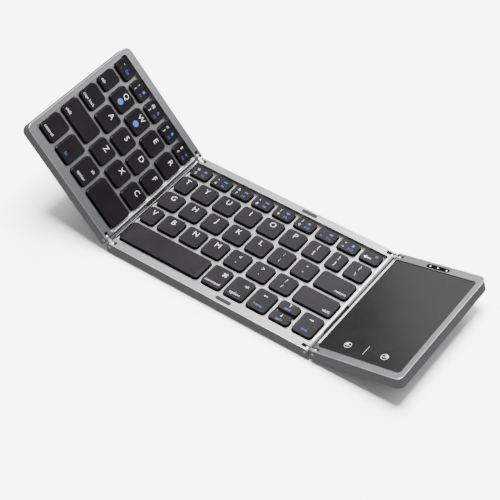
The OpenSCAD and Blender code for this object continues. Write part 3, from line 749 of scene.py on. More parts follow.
class Lettering:
    """Outlines of words, turned into flat triangles once each."""

    slim = 0.014

    def __init__(self) -> None:
        """Measures the height of a capital."""
        self.cache: dict[str, Flat] = {}
        capital, _ = self.word("H")
        self.cap = float(np.ptp(capital[:, 1]))

    def word(self, text: str) -> Flat:
        """Flat triangles of a word.

        Args:
            text: The word.

        Returns:
            Points (n x 2) and triangles (m x 3), in the font's own units.
        """
        if text not in self.cache:
            curve = bpy.data.curves.new("word", "FONT")
            curve.body = text
            curve.resolution_u = 4
            curve.offset = -self.slim
            holder = bpy.data.objects.new("word", curve)
            bpy.context.scene.collection.objects.link(holder)
            bpy.context.view_layer.update()
            seen = holder.evaluated_get(bpy.context.evaluated_depsgraph_get())
            mesh = seen.to_mesh()
            mesh.calc_loop_triangles()
            points = np.zeros(len(mesh.vertices) * 3, np.float32)
            mesh.vertices.foreach_get("co", points)
            faces = np.zeros(len(mesh.loop_triangles) * 3, np.int32)
            mesh.loop_triangles.foreach_get("vertices", faces)
            seen.to_mesh_clear()
            bpy.data.objects.remove(holder)
            bpy.data.curves.remove(curve)
            self.cache[text] = (points.reshape(-1, 3)[:, :2].astype(float), faces.reshape(-1, 3))
        return self.cache[text]

    def set_word(self, text: str, high: float, anchor: Pair) -> Flat:
        """A word scaled to a capital's height and shifted by its anchor.

        Args:
            text: The word.
            high: Height of a capital, in millimetres.
            anchor: Where in the word's box the origin lies, from 0 to 1 each way.

        Returns:
            Points in millimetres, and triangles.
        """
        points, faces = self.word(text)
        points = points * (high / self.cap)
        low, top = points.min(0), points.max(0)
        if text.isalpha() or text.isdigit() or " " in text:
            low, top = np.array((low[0], 0.0)), np.array((top[0], high))
        return points - (low + (top - low) * np.array(anchor)), faces


def blade(*corners: Pair) -> Flat:
    """A convex polygon, as a fan of triangles from its first corner.

    Args:
        corners: Its corners, anticlockwise.

    Returns:
        Points and triangles.
    """
    points = np.array(corners, float)
    i = np.arange(1, len(corners) - 1)
    return points, np.column_stack((np.zeros_like(i), i, i + 1))


def stroke(a: Pair, b: Pair, thick: float) -> Flat:
    """A straight bar of even thickness from a to b.

    Args:
        a: Middle of one end.
        b: Middle of the other end.
        thick: Thickness.

    Returns:
        Points and triangles.
    """
    p, q = np.array(a, float), np.array(b, float)
    n = (q - p) / np.linalg.norm(q - p)
    s = np.array((-n[1], n[0])) * thick / 2
    return blade(tuple(p + s), tuple(p - s), tuple(q - s), tuple(q + s))


def ring(
    centre: Pair, inner: float, outer: float, start: float = 0.0, end: float = 360.0
) -> Flat:
    """The band between two circles, which is a disc where the inner radius is 0.

    Args:
        centre: Middle of the circles.
        inner: Inner radius.
        outer: Outer radius.
        start: First angle in degrees.
        end: Last angle in degrees.

    Returns:
        Points and triangles.
    """
    n = max(6, int(abs(end - start) / 15))
    a = np.radians(np.linspace(start, end, n + 1))
    way = np.column_stack((np.cos(a), np.sin(a)))
    points = np.concatenate((centre + way * inner, centre + way * outer))
    i = np.arange(n)
    first = np.column_stack((i, i + n + 1, i + n + 2))
    second = np.column_stack((i, i + n + 2, i + 1))
    return points, np.concatenate((first, second))


def merge(*parts: Flat) -> Flat:
    """Several flat shapes as one.

    Args:
        parts: The shapes.

    Returns:
        Points and triangles.
    """
    points, faces, size = [], [], 0
    for p, f in parts:
        points.append(p)
        faces.append(f + size)
        size += len(p)
    return np.concatenate(points), np.concatenate(faces)


def moved(shape: Flat, x: float, y: float, scale: float = 1.0, turn: float = 0.0) -> Flat:
    """A flat shape turned, then scaled, then shifted.

    Args:
        shape: Points and triangles.
        x: Shift along x.
        y: Shift along y.
        scale: Scale.
        turn: Angle in degrees.

    Returns:
        Points and triangles.
    """
    a = math.radians(turn)
    spin = np.array(((math.cos(a), math.sin(a)), (-math.sin(a), math.cos(a))))
    return shape[0] @ spin * scale + np.array((x, y)), shape[1]


def bars(thick: float, *runs: Box) -> Flat:
    """Straight bars of one thickness, each from its first two numbers to its last two."""
    return merge(*(stroke((x0, y0), (x1, y1), thick) for x0, y0, x1, y1 in runs))


def arrow(turn: float) -> Flat:
    """A thin arrow 1 long that points right before it is turned."""
    head = blade((0.5, 0.0), (0.14, 0.26), (0.14, -0.26))
    return moved(merge(bars(0.13, (-0.5, 0.0, 0.34, 0.0)), head), 0, 0, 1.0, turn)


def wedge(x: float, size: float = 0.5) -> Flat:
    """A triangle that points right, its base at x."""
    return blade((x, -size / 2), (x + size * 0.75, 0.0), (x, size / 2))


def waves(*bands: Pair) -> Flat:
    """Bows of a sound wave that opens to the right, each between two radii."""
    return merge(*(ring((0.0, 0.0), inner, outer, -45.0, 45.0) for inner, outer in bands))


def sun(inner: float, reach: float, thick: float) -> Flat:
    """A round sun with eight rays.

    Args:
        inner: Inner radius of the round, 0 for a full one.
        reach: How far out the rays go.
        thick: Thickness of the rays.

    Returns:
        Points and triangles.
    """
    compass = [(math.cos(TAU * i / 8), math.sin(TAU * i / 8)) for i in range(8)]
    rays = ((0.3 * c, 0.3 * s, reach * c, reach * s) for c, s in compass)
    return merge(ring((0, 0), inner, 0.2), bars(thick, *rays))


def loop() -> Flat:
    """A looped square: four open rings at the corners, and the bars that join them.

    Returns:
        Points and triangles.
    """
    rings = []
    for x, y in ((1, 1), (-1, 1), (-1, -1), (1, -1)):
        a = math.degrees(math.atan2(y, x))
        rings.append(ring((0.3 * x, 0.3 * y), 0.1, 0.19, a - 135.0, a + 135.0))
    upright = ((0.155 * way, -0.32, 0.155 * way, 0.32) for way in (-1, 1))
    level = ((-0.32, 0.155 * way, 0.32, 0.155 * way) for way in (-1, 1))
    return merge(*rings, bars(0.09, *upright, *level))


class Sign(Enum):
    """Small pictures printed on the number row and elsewhere."""

    HOUSE = "house"
    LENS = "lens"
    SHEETS = "sheets"
    DIM = "dim"
    BRIGHT = "bright"
    BACK = "back"
    PLAY = "play"
    NEXT = "next"
    MUTE = "mute"
    QUIET = "quiet"
    LOUD = "loud"
    LOCK = "lock"
    LOOP = "loop"
    BIN = "bin"


def pictures() -> dict[Sign, Flat]:
    """The flat triangles of every sign, each in a box 1 wide about the origin.

    Returns:
        Points and triangles by sign.
    """
    box = blade((-0.3, -0.4), (0.3, -0.4), (0.3, 0.05), (-0.3, 0.05))
    sheet = blade((-0.4, -0.2), (0.1, -0.2), (0.1, 0.42), (-0.4, 0.42))
    skip = merge(wedge(-0.45), wedge(-0.05), bars(0.1, (0.4, -0.25, 0.4, 0.25)))
    magnet = blade((-0.5, -0.15), (-0.28, -0.15), (-0.28, 0.15), (-0.5, 0.15))
    speaker = merge(magnet, blade((-0.28, -0.15), (0.02, -0.4), (0.02, 0.4), (-0.28, 0.15)))
    can = bars(0.09, (-0.26, 0.24, -0.2, -0.4), (0.26, 0.24, 0.2, -0.4), (-0.2, -0.4, 0.2, -0.4))
    return {
        Sign.HOUSE: merge(box, blade((-0.48, 0.05), (0.48, 0.05), (0.0, 0.46))),
        Sign.LENS: merge(ring((-0.1, 0.1), 0.2, 0.32), bars(0.14, (0.12, -0.12, 0.4, -0.4))),
        Sign.SHEETS: merge(sheet, bars(0.1, (0.22, 0.2, 0.22, -0.4), (0.27, -0.37, -0.24, -0.37))),
        Sign.DIM: sun(0.1, 0.4, 0.09),
        Sign.BRIGHT: sun(0.0, 0.5, 0.1),
        Sign.BACK: moved(skip, 0, 0, 1.0, 180.0),
        Sign.PLAY: merge(wedge(-0.45), bars(0.12, (0.12, -0.25, 0.12, 0.25), (0.36, -0.25, 0.36, 0.25))),
        Sign.NEXT: skip,
        Sign.MUTE: merge(speaker, bars(0.09, (0.16, -0.16, 0.46, 0.16), (0.16, 0.16, 0.46, -0.16))),
        Sign.QUIET: merge(speaker, waves((0.16, 0.25))),
        Sign.LOUD: merge(speaker, waves((0.16, 0.25), (0.36, 0.46))),
        Sign.LOCK: merge(box, ring((0.0, 0.05), 0.15, 0.26, 0.0, 180.0)),
        Sign.LOOP: loop(),
        Sign.BIN: merge(bars(0.1, (-0.38, 0.28, 0.38, 0.28)), can),
    }


PICTURES = pictures()


@dataclass(frozen=True)
class Mark:
    """One printed mark: a word, a sign, or an arrow given by its turn in degrees.

    Its place is a share of the key's width and depth, from the front left corner.
    """

    what: str | Sign | float
    at: Pair
    high: float
    ink: Print = Print.WHITE
    anchor: Pair = (0.5, 0.5)
    lift: float = 0.0


DISC = "disc"
FRONT = (0.5, 0.0)
LEFT_FRONT = (0.0, 0.0)
RIGHT_FRONT = (1.0, 0.0)


def letter(text: str) -> tuple[Mark, ...]:
    """A letter towards the rear of a key."""
    return (Mark(text, (0.5, 0.70), 3.7),)


def linked(text: str, digit: str) -> tuple[Mark, ...]:
    """A letter with a blue disc in front of it, and a digit on the disc.

    Args:
        text: The letter.
        digit: The digit.

    Returns:
        The marks.
    """
    return (
        Mark(text, (0.5, 0.74), 3.5),
        Mark(DISC, (0.5, 0.33), 4.3, Print.BLUE),
        Mark(digit, (0.5, 0.33), 2.4, Print.DARK, lift=0.01),
    )


def stacked(upper: str, lower: str) -> tuple[Mark, ...]:
    """Two signs, one behind the other."""
    return (Mark(upper, (0.5, 0.71), 2.7), Mark(lower, (0.5, 0.33), 2.7))


def word(text: str, at: Pair, high: float = 1.9, end: bool = False) -> tuple[Mark, ...]:
    """A word in a key's front corner: its start is at the place given, or its end."""
    return (Mark(text, at, high, anchor=RIGHT_FRONT if end else LEFT_FRONT),)


def number(upper: str, lower: str, sign: Sign | str, label: str) -> tuple[Mark, ...]:
    """A number key: white pair at the left, blue sign and label at the right.

    Args:
        upper: White sign at the rear.
        lower: White sign at the front.
        sign: Blue picture, or a blue word that stands by itself.
        label: Blue word below a picture.

    Returns:
        The marks.
    """
    pair = (Mark(upper, (0.27, 0.70), 1.9), Mark(lower, (0.27, 0.30), 1.9))
    if isinstance(sign, str):
        return (*pair, Mark(sign, (0.66, 0.5), 1.9, Print.BLUE))
    return (*pair, Mark(sign, (0.68, 0.68), 2.5, Print.BLUE), Mark(label, (0.68, 0.28), 1.6, Print.BLUE))


def arrowed(turn: float, label: str, small: bool = False) -> tuple[Mark, ...]:
    """An arrow key: white arrow at the rear, blue label in front of it.

    Args:
        turn: The arrow's turn from pointing right, in degrees.
        label: The label.
        small: Whether the key is of half depth.

    Returns:
        The marks.
    """
    if small:
        return (Mark(turn, (0.5, 0.72), 2.2), Mark(label, (0.5, 0.30), 1.6, Print.BLUE))
    return (Mark(turn, (0.5, 0.74), 2.8), Mark(label, (0.5, 0.24), 1.8, Print.BLUE))


OPTION = (*word("alt", (0.84, 0.66), end=True), Mark("option", (0.5, 0.15), 1.9, anchor=FRONT))


@dataclass(frozen=True)
class Cap:
    """One key: its place and size on its panel in millimetres, and what is printed on it."""

    x: float
    y: float
    w: float
    d: float
    marks: tuple[Mark, ...]


Keys = list[tuple[str, float, tuple[Mark, ...]]]


def same(node: str, w: float, printed: list[tuple[Mark, ...]]) -> Keys:
    """Keys of one node and one width, in a row."""
    return [(node, w, marks) for marks in printed]


@dataclass
class KeyField:
    """The rows of one panel, laid out as the maker would: sizes along each row, gaps between them.

    The keys start and end at a small distance from the two sides of the panel's well.
    """

    panel: Panel
    inset: Pair
    fold_key: float = 10.9
    standard: float = 14.4
    row_deep: float = 14.2
    number_deep: float = 9.4
    caps: dict[str, list[Cap]] = field(default_factory=dict)

    @property
    def left(self) -> float:
        """Left side of the first key, from the panel's left edge."""
        return WELLS[self.panel.side].left + self.inset[0]

    @property
    def wide(self) -> float:
        """From the first key's left side to the last key's right side."""
        return WELLS[self.panel.side].right - self.inset[1] - self.left

    @property
    def deep(self) -> list[float]:
        """Depth of each row, rear row first; the front row takes what is left.

        Returns:
            Five depths in millimetres.
        """
        ends = SIZES.rim_rear + SIZES.gap_rear + SIZES.rim_front + SIZES.gap_front
        used = ends + self.number_deep + 3 * self.row_deep + 4 * SIZES.row_gap
        return [self.number_deep, self.row_deep, self.row_deep, self.row_deep, SIZES.depth - used]

    def row_y(self, row: int) -> float:
        """Front side of a row, from the panel's front edge."""
        return SIZES.depth - SIZES.rim_rear - SIZES.gap_rear - sum(self.deep[: row + 1]) - row * SIZES.row_gap

    def spare(self, keys: Keys) -> float:
        """Width that is left in a row for one more key beside these."""
        return self.wide - sum(w for _, w, _ in keys) - len(keys) * SIZES.key_gap

    def even(self, count: int) -> float:
        """Width of a key in a row of equal keys."""
        return (self.wide - (count - 1) * SIZES.key_gap) / count

    def add_row(self, row: int, keys: Keys) -> None:
        """Lays one row of keys out from the left.

        Args:
            row: Row number from the rear.
            keys: For each key, its node, its width and its marks.
        """
        x = self.left
        for node, w, marks in keys:
            self.caps.setdefault(node, []).append(Cap(x, self.row_y(row), w, self.deep[row], marks))
            x += w + SIZES.key_gap


@dataclass
class KeyMaker:
    """Turns the key layout into soft-edged, slightly dished caps with printed legends."""

    finishes: Finishes
    words: Lettering
    edge: float = 0.3
    dish: float = 0.13
    wall: float = 1.2
    hem: float = 0.05
    top: float = 1.1
    print_lift: float = 0.018
    shares: tuple[float, ...] = (0.9, 0.75, 0.5, 0.25)

    def surface_height(self, x: Array, y: Array, cap: Cap) -> Array:
        """Height of the key's top: a shallow dish, deepest in the middle and level at the rim.

        Args:
            x: Places across the key, from its left side.
            y: Places along the key, from its front side.
            cap: The key.

        Returns:
            Heights in millimetres: 0 at the rim and below 0 inside it.
        """
        u = np.clip(1.0 - ((2.0 * x / cap.w - 1.0) ** 2), 0.0, 1.0)
        v = np.clip(1.0 - ((2.0 * y / cap.d - 1.0) ** 2), 0.0, 1.0)
        return -self.dish * np.sqrt(u * v)

    def body(self, cap: Cap) -> tuple[Array, Array, Array]:
        """One cap as a closed surface: loops of a rounded rectangle carried along a profile.

        The profile climbs the inside, passes under the skirt, climbs the outside, turns over a quarter-round
        edge and crosses the dished top to the middle.

        Args:
            cap: The key.

        Returns:
            Points in the panel's millimetres, four-sided faces, and the triangles that close both ends.
        """
        turn = np.linspace(0.0, TAU / 4, 6)[1:]
        low = -SIZES.key_high
        inner = [(self.wall, -self.top), (self.wall, low), (0.0, low)]
        outer = [(0.0, low + self.hem), (0.0, -self.edge)]
        over = list(zip(self.edge * (1 - np.cos(turn)), -self.edge * (1 - np.sin(turn))))
        loops = []
        for inset, z in inner + outer + over:
            loop = rounded_loop(cap.w, cap.d, (SIZES.key_corner, SIZES.key_corner), inset, 7)
            loops.append(np.column_stack((loop, np.full(len(loop), z))))
        rim = loops[-1][:, :2]
        middle = np.array((cap.w / 2, cap.d / 2))
        for share in self.shares:
            spot = middle + (rim - middle) * share
            loops.append(np.column_stack((spot, self.surface_height(spot[:, 0], spot[:, 1], cap))))
        count = len(rim)
        rows = len(loops)
        points = np.concatenate((*loops, [[*middle, -self.dish]], [[*middle, -self.top]]))
        quads = grid_faces(rows, count, True)
        j = np.arange(count)
        k = (j + 1) % count
        top = np.column_stack(((rows - 1) * count + j, (rows - 1) * count + k, np.full(count, rows * count)))
        under = np.column_stack((k, j, np.full(count, rows * count + 1)))
        return points, quads, np.concatenate((top, under))

    def flat_mark(self, mark: Mark, cap: Cap) -> Flat:
        """One mark's flat triangles, in the key's own millimetres.

        Args:
            mark: What is printed and where.
            cap: The key that it is on.

        Returns:
            Points and triangles.
        """
        x, y = mark.at[0] * cap.w, mark.at[1] * cap.d
        if isinstance(mark.what, Sign):
            return moved(PICTURES[mark.what], x, y, mark.high)
        if isinstance(mark.what, (int, float)):
            return moved(arrow(float(mark.what)), x, y, mark.high)
        if mark.what == DISC:
            return ring((x, y), 0.0, mark.high / 2)
        return moved(self.words.set_word(mark.what, mark.high, mark.anchor), x, y)

    def make(self, node: str, caps: list[Cap], panel: Panel) -> Piece:
        """Builds the caps and legends that stand for one solid of the keyboard.

        Args:
            node: The solid's name.
            caps: Its keys.
            panel: The panel that they are on.

        Returns:
            The piece, riding on its key's body.
        """
        shape = Shape()
        for cap in caps:
            base = np.array((cap.x, cap.y, SIZES.thick - SIZES.key_drop))
            points, quads, ends = self.body(cap)
            placed = panel.place(points + base)
            shape.add(placed, quads)
            shape.add(placed, ends)
            for mark in cap.marks:
                flat, faces = self.flat_mark(mark, cap)
                z = self.surface_height(flat[:, 0], flat[:, 1], cap) + self.print_lift + mark.lift
                shape.add(panel.place(np.column_stack((flat, z)) + base), faces, mark.ink.value)
        ink = [self.finishes.key, self.finishes.white, self.finishes.blue, self.finishes.dark]
        made = shape.build(f"{node}_caps", ink, 40.0)
        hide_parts(node)
        return settle(made, f"body_{node}")


def left_field() -> KeyField:
    """The left wing's five rows.

    Returns:
        The rows, with their keys laid out.
    """
    f = KeyField(LEFT, (1.5, 0.8))
    k, narrow, small = f.standard, 12.6, 13.8
    signs = (("!", "1", Sign.HOUSE), ("@", "2", Sign.LENS), ("#", "3", Sign.SHEETS), ("$", "4", Sign.DIM))
    labels = [number("~", "`", "Esc", "")]
    labels += [number(a, b, sign, f"F{i}") for i, (a, b, sign) in enumerate(signs, 1)]
    f.add_row(0, same("left_number_keys", f.even(5), labels))

    top = same("left_top_letters", k, [linked("Q", "1"), linked("W", "2"), letter("E"), letter("R")])
    f.add_row(1, [("tab_key", f.spare(top), word("tab", (0.14, 0.16))), *top])

    home = [("left_home_letters", w, letter(c)) for w, c in zip((k, k, narrow, narrow), "ASDF")]
    f.add_row(2, [("caps_lock_key", f.spare(home), word("caps lock", (0.10, 0.16))), *home])

    low = same("left_bottom_letters", k, [letter(c) for c in "ZXC"])
    f.add_row(3, [("left_shift_key", f.spare(low), word("shift", (0.07, 0.16))), *low])

    front = [
        ("control_key", small, word("control", (0.12, 0.15))),
        ("fn_key", small, (Mark("fn", (0.5, 0.22), 2.2, Print.BLUE),)),
        ("left_option_key", small, OPTION),
    ]
    f.add_row(4, [*front, ("left_space_bar", f.spare(front), ())])
    return f


def centre_field() -> KeyField:
    """The centre panel's five rows. Two keys of half depth share one place between the other arrows.

    Returns:
        The rows, with their keys laid out.
    """
    f = KeyField(CENTRE, (0.6, 2.3))
    k, thin, slash, bar = f.standard, f.fold_key, 14.1, 61.0
    signs = (
        ("%", "5", Sign.BRIGHT), ("^", "6", Sign.BACK), ("&", "7", Sign.PLAY), ("*", "8", Sign.NEXT),
        ("(", "9", Sign.MUTE), (")", "0", Sign.QUIET), ("_", "-", Sign.LOUD), ("+", "=", Sign.LOCK),
    )
    labels = [number(a, b, sign, f"F{i}") for i, (a, b, sign) in enumerate(signs, 5)]
    rub_out = (Mark(180.0, (0.36, 0.36), 5.0), Mark(Sign.BIN, (0.72, 0.72), 2.3, Print.BLUE))
    f.add_row(0, [*same("right_number_keys", f.even(9), labels), ("backspace_key", f.even(9), rub_out)])

    node = "right_top_letters"
    top = [(node, thin, letter("T")), *same(node, k, [*map(letter, "YUIOP"), stacked("{", "[")])]
    last = ("backslash_key", slash, stacked("|", "\\"))
    f.add_row(1, [*top, (node, f.spare([*top, last]), stacked("}", "]")), last])

    home = same("right_home_letters", k, [*map(letter, "GHJKL"), stacked(":", ";"), stacked('"', "'")])
    f.add_row(2, [*home, ("return_key", f.spare(home), word("return", (0.93, 0.16), 2.0, end=True))])

    node = "right_bottom_letters"
    pairs = [stacked("<", ","), stacked(">", "."), stacked("?", "/")]
    low = [(node, thin, letter("V")), *same(node, k, [*map(letter, "BNM"), *pairs])]
    f.add_row(3, [*low, ("right_shift_key", f.spare(low), word("shift", (0.94, 0.16), 2.0, end=True))])

    command = (Mark(Sign.LOOP, (0.74, 0.72), 3.2), Mark("command", (0.5, 0.15), 1.8, anchor=FRONT))
    front = (
        ("command_key", command), ("right_option_key", OPTION), ("arrow_left_key", arrowed(180.0, "home")),
        ("arrow_up_key", ()), ("arrow_right_key", arrowed(0.0, "end")),
    )
    w = (f.wide - bar - len(front) * SIZES.key_gap) / len(front)
    f.add_row(4, [("long_space_bar", bar, ()), *((node, w, marks) for node, marks in front)])
    whole = f.caps["arrow_up_key"][0]
    half = (whole.d - SIZES.half_gap) / 2
    rear = whole.y + half + SIZES.half_gap
    f.caps["arrow_up_key"] = [Cap(whole.x, rear, w, half, arrowed(90.0, "pgup", small=True))]
    f.caps["arrow_down_key"] = [Cap(whole.x, whole.y, w, half, arrowed(-90.0, "pgdn", small=True))]
    return f


# ---------------------------------------------------------------- trim


@dataclass(frozen=True)
class Lip:
    """A strip at a fold, in a lighter material than the rim as a painted highlight where the fold edges catch
    the light: distances in from the fold on the web, and then on the barrel.
    """

    at_right: bool
    web: tuple[float, ...]
    barrel: tuple[float, ...]


LIPS = {
    Side.LEFT: (Lip(True, (3.8, 3.18), (3.17, 2.7)),),
    Side.CENTRE: (Lip(False, (2.25, 1.78), (1.77, 1.56)), Lip(True, (), (2.88, 2.3, 1.9))),
    Side.RIGHT: (Lip(False, (), (3.1, 2.7, 2.2, 1.7)),),
}


@dataclass
class Trim:
    """Edges of the panels: bead, rim line, a painted shade line for the seam, the mouth of the well and the
    painted highlight strips at the folds.

    The mouth's section is distances out from the well's side and heights above the rim. The scoop is where
    the mouth's front line is left out, from the centre panel's left edge.
    """

    finishes: Finishes
    bulge: float = 0.1
    bead_over: float = 0.05
    line: float = 0.28
    proud: float = 0.018
    seam: float = 0.2
    seam_in: float = 1.05
    over: float = 0.008
    scoop: Pair = (9.0, 66.8)
    mouth: tuple[Pair, ...] = ((0.03, -0.12), (0.03, 0.008), (0.12, 0.02), (0.24, 0.004))
    fold_stop: float = 0.6
    web_drop: float = 2.7
    lip_over: float = 0.012
    lip_end: float = 1.7

    def sweep(
        self, shape: Shape, panel: Panel, run: Run, profile: Array, closed: bool = False, slot: int = 0
    ) -> None:
        """Adds a profile carried along a path in plan.

        Args:
            shape: What it is added to.
            panel: The panel that the trim is on.
            run: The path and its outward directions.
            profile: k x 2 array of (distance outwards, height) for the section.
            closed: Whether the path closes on itself.
            slot: Which material the faces take.
        """
        path, out = run
        reach = profile[:, None, 0, None] * out + path
        high = np.broadcast_to(profile[:, None, 1, None], reach.shape[:2] + (1,))
        points = np.concatenate((reach, high), axis=2).reshape(-1, 3)
        shape.add(panel.place(points), grid_faces(len(profile), len(path), closed), slot)

    def outline(self, panel: Panel) -> Run:
        """The panel's outline in plan and its outward directions.

        Args:
            panel: The panel.

        Returns:
            The path.
        """
        tight, wide = SIZES.fold_corner, SIZES.corner
        radii = {Side.LEFT: (wide, tight), Side.CENTRE: (tight, tight), Side.RIGHT: (tight, wide)}[panel.side]
        path, inner = (rounded_loop(panel.width, SIZES.depth, radii, inset, 10) for inset in (0.0, 0.5))
        return path, unit(path - inner)

    def open_runs(self, panel: Panel, box: Box, r: float, fold: float) -> list[Run]:
        """A rounded rectangle on a panel, as open paths that stop short of the folds.

        Args:
            panel: The panel.
            box: Left, right, front and rear side.
            r: Corner radius.
            fold: Distance from the box's end at a fold at which the paths stop.

        Returns:
            The paths.
        """
        low, high, front, rear = box
        if panel.side is Side.CENTRE:
            ends = np.array((low + fold, high - fold))
            sides = ((front, -1.0), (rear, 1.0))
            return [(np.column_stack((ends, np.full(2, y))), np.tile((0.0, way), (2, 1))) for y, way in sides]
        path, inner = (rounded_loop(high - low, rear - front, (r, r), inset, 10) for inset in (0.0, 0.3))
        out = unit(path - inner)
        free_right = panel.side is Side.RIGHT
        keep = (path[:, 0] > (high - low) / 2) == free_right
        path, out = path[keep] + np.array((low, front)), out[keep]
        end = low + fold if free_right else high - fold
        line = np.concatenate(([[end, path[0, 1]]], path, [[end, path[-1, 1]]]))
        return [(line, np.concatenate((out[:1], out, out[-1:])))]

    def bow(self, a: Pair, b: Pair, steps: int = 5) -> Array:
        """A parabola between two points of a section, which bulges outwards by the trim's bulge.

        Args:
            a: First point.
            b: Last point.
            steps: Number of points.

        Returns:
            n x 2 array of (distance outwards, height).
        """
        p, q = np.array(a), np.array(b)
        t = np.linspace(0.0, 1.0, steps)[:, None]
        n = np.array((q[1] - p[1], p[0] - q[0]))
        n = n / np.linalg.norm(n)
        return p + (q - p) * t + n * 4.0 * t * (1.0 - t) * self.bulge

    def quarter(self, top: float, steps: int = 7) -> Array:
        """Section of the polished line, from top to side: x cubed and z cubed add up to r cubed.

        Args:
            top: Height of the panel's top.
            steps: Number of points.

        Returns:
            n x 2 array of (distance outwards, height).
        """
        a = np.linspace(0.0, TAU / 4, steps)
        r, power = self.line + self.proud, 2.0 / 3.0
        return np.column_stack((r * np.sin(a) ** power - self.line, top - self.line + r * np.cos(a) ** power))

    def bead(self, panel: Panel) -> Piece:
        """The polished bead round a panel's underside.

        Args:
            panel: The panel.

        Returns:
            The piece, riding on the panel.
        """
        body, shape = panel.side.value, Shape()
        b = SIZES.bead + self.bead_over
        self.sweep(shape, panel, self.outline(panel), self.bow((-b, 0.0), (0.0, b)), closed=True)
        return settle(shape.build(f"{body}_bead", [self.finishes.bead]), body)

    def rim_edge(self, panel: Panel) -> Piece:
        """The fine polished line along the casing's top edge, and inside it a flat near-black strip that
        paints the shade of the seam groove.

        Args:
            panel: The panel.

        Returns:
            The piece, riding on the panel.
        """
        body, shape = panel.side.value, Shape()
        w, d, t = panel.width, SIZES.depth, SIZES.thick
        for run in self.open_runs(panel, (0.0, w, 0.0, d), SIZES.corner, SIZES.pin_drop + self.fold_stop):
            self.sweep(shape, panel, run, self.quarter(t))
        # painted shade: a flat near-black ink strip laid just above the top, standing in for the shade in the
        # seam groove
        s = self.seam_in
        flat = np.array(((-self.seam / 2, t + self.over), (self.seam / 2, t + self.over)))
        for run in self.open_runs(panel, (s, w - s, s, d - s), SIZES.corner - s, SIZES.slot):
            self.sweep(shape, panel, run, flat, slot=1)
        made = shape.build(f"{body}_rim_edge", [self.finishes.bead, self.finishes.dark])
        return settle(made, body)

    def well_edge(self, panel: Panel) -> Piece:
        """The mouth of a panel's well: a fine bright line on the rim, left out at the thumb scoop.

        Args:
            panel: The panel.

        Returns:
            The piece, riding on the panel.
        """
        well = WELLS[panel.side]
        section = np.array(self.mouth) + (0.0, SIZES.thick)
        runs = self.open_runs(panel, well.box, well.corner, 1.0)
        if panel.side is Side.CENTRE:
            (line, way), rear = runs
            start, end = (np.array((x, well.front)) for x in self.scoop)
            runs = [(np.array((line[0], start)), way), (np.array((end, line[1])), way), rear]
        body, shape = panel.side.value, Shape()
        for run in runs:
            self.sweep(shape, panel, run, section)
        return settle(shape.build(f"{body}_well_edge", [self.finishes.bead]), body)

    def fold_lip_highlight(self, panel: Panel) -> Piece:
        """A strip along the inner edge of each fold, between the hinge corners, lighter and more diffuse than
        the rim paint: a painted highlight where the fold's wall and edge catch the light.

        On the barrel its height follows a quarter circle about the pin's line.

        Args:
            panel: The panel.

        Returns:
            The piece, riding on the panel.
        """
        t, r = SIZES.thick, SIZES.pin_drop
        front, rear = SIZES.rim_front + self.lip_end, SIZES.depth - SIZES.rim_rear - self.lip_end
        run = np.array(((0.0, front), (0.0, rear))), np.tile((1.0, 0.0), (2, 1))
        body, shape = panel.side.value, Shape()
        for lip in LIPS[panel.side]:
            far = np.array(lip.web + lip.barrel)
            high = t - r + np.sqrt(r**2 - np.maximum(r - far, 0.0) ** 2)
            high[: len(lip.web)] = t - self.web_drop
            x = panel.width - far if lip.at_right else far
            self.sweep(shape, panel, run, np.column_stack((x, high + self.lip_over)))
        return settle(shape.build(f"{body}_fold_lip_highlight", [self.finishes.lip]), body)


# ---------------------------------------------------------------- flat cables


@dataclass(frozen=True)
class Fold:
    """One fold's flat cable as it lies at rest, in millimetres and degrees.

    Its side is -1 at the left and 1 at the right. The link and the wing are turned up by their angles, and
    the slit in the centre panel ends at the lip's distance from the fold.
    """

    name: str
    side: int
    link: float
    wing: float
    y: float
    wide: float
    lip: float


FOLDS = (
    Fold("left", -1, LEFT_LINK, LEFT_TURN, 0.0, 16.2, 1.8),
    Fold("right", 1, RIGHT_LINK, RIGHT_TURN, -18.0, 22.4, 2.9),
)


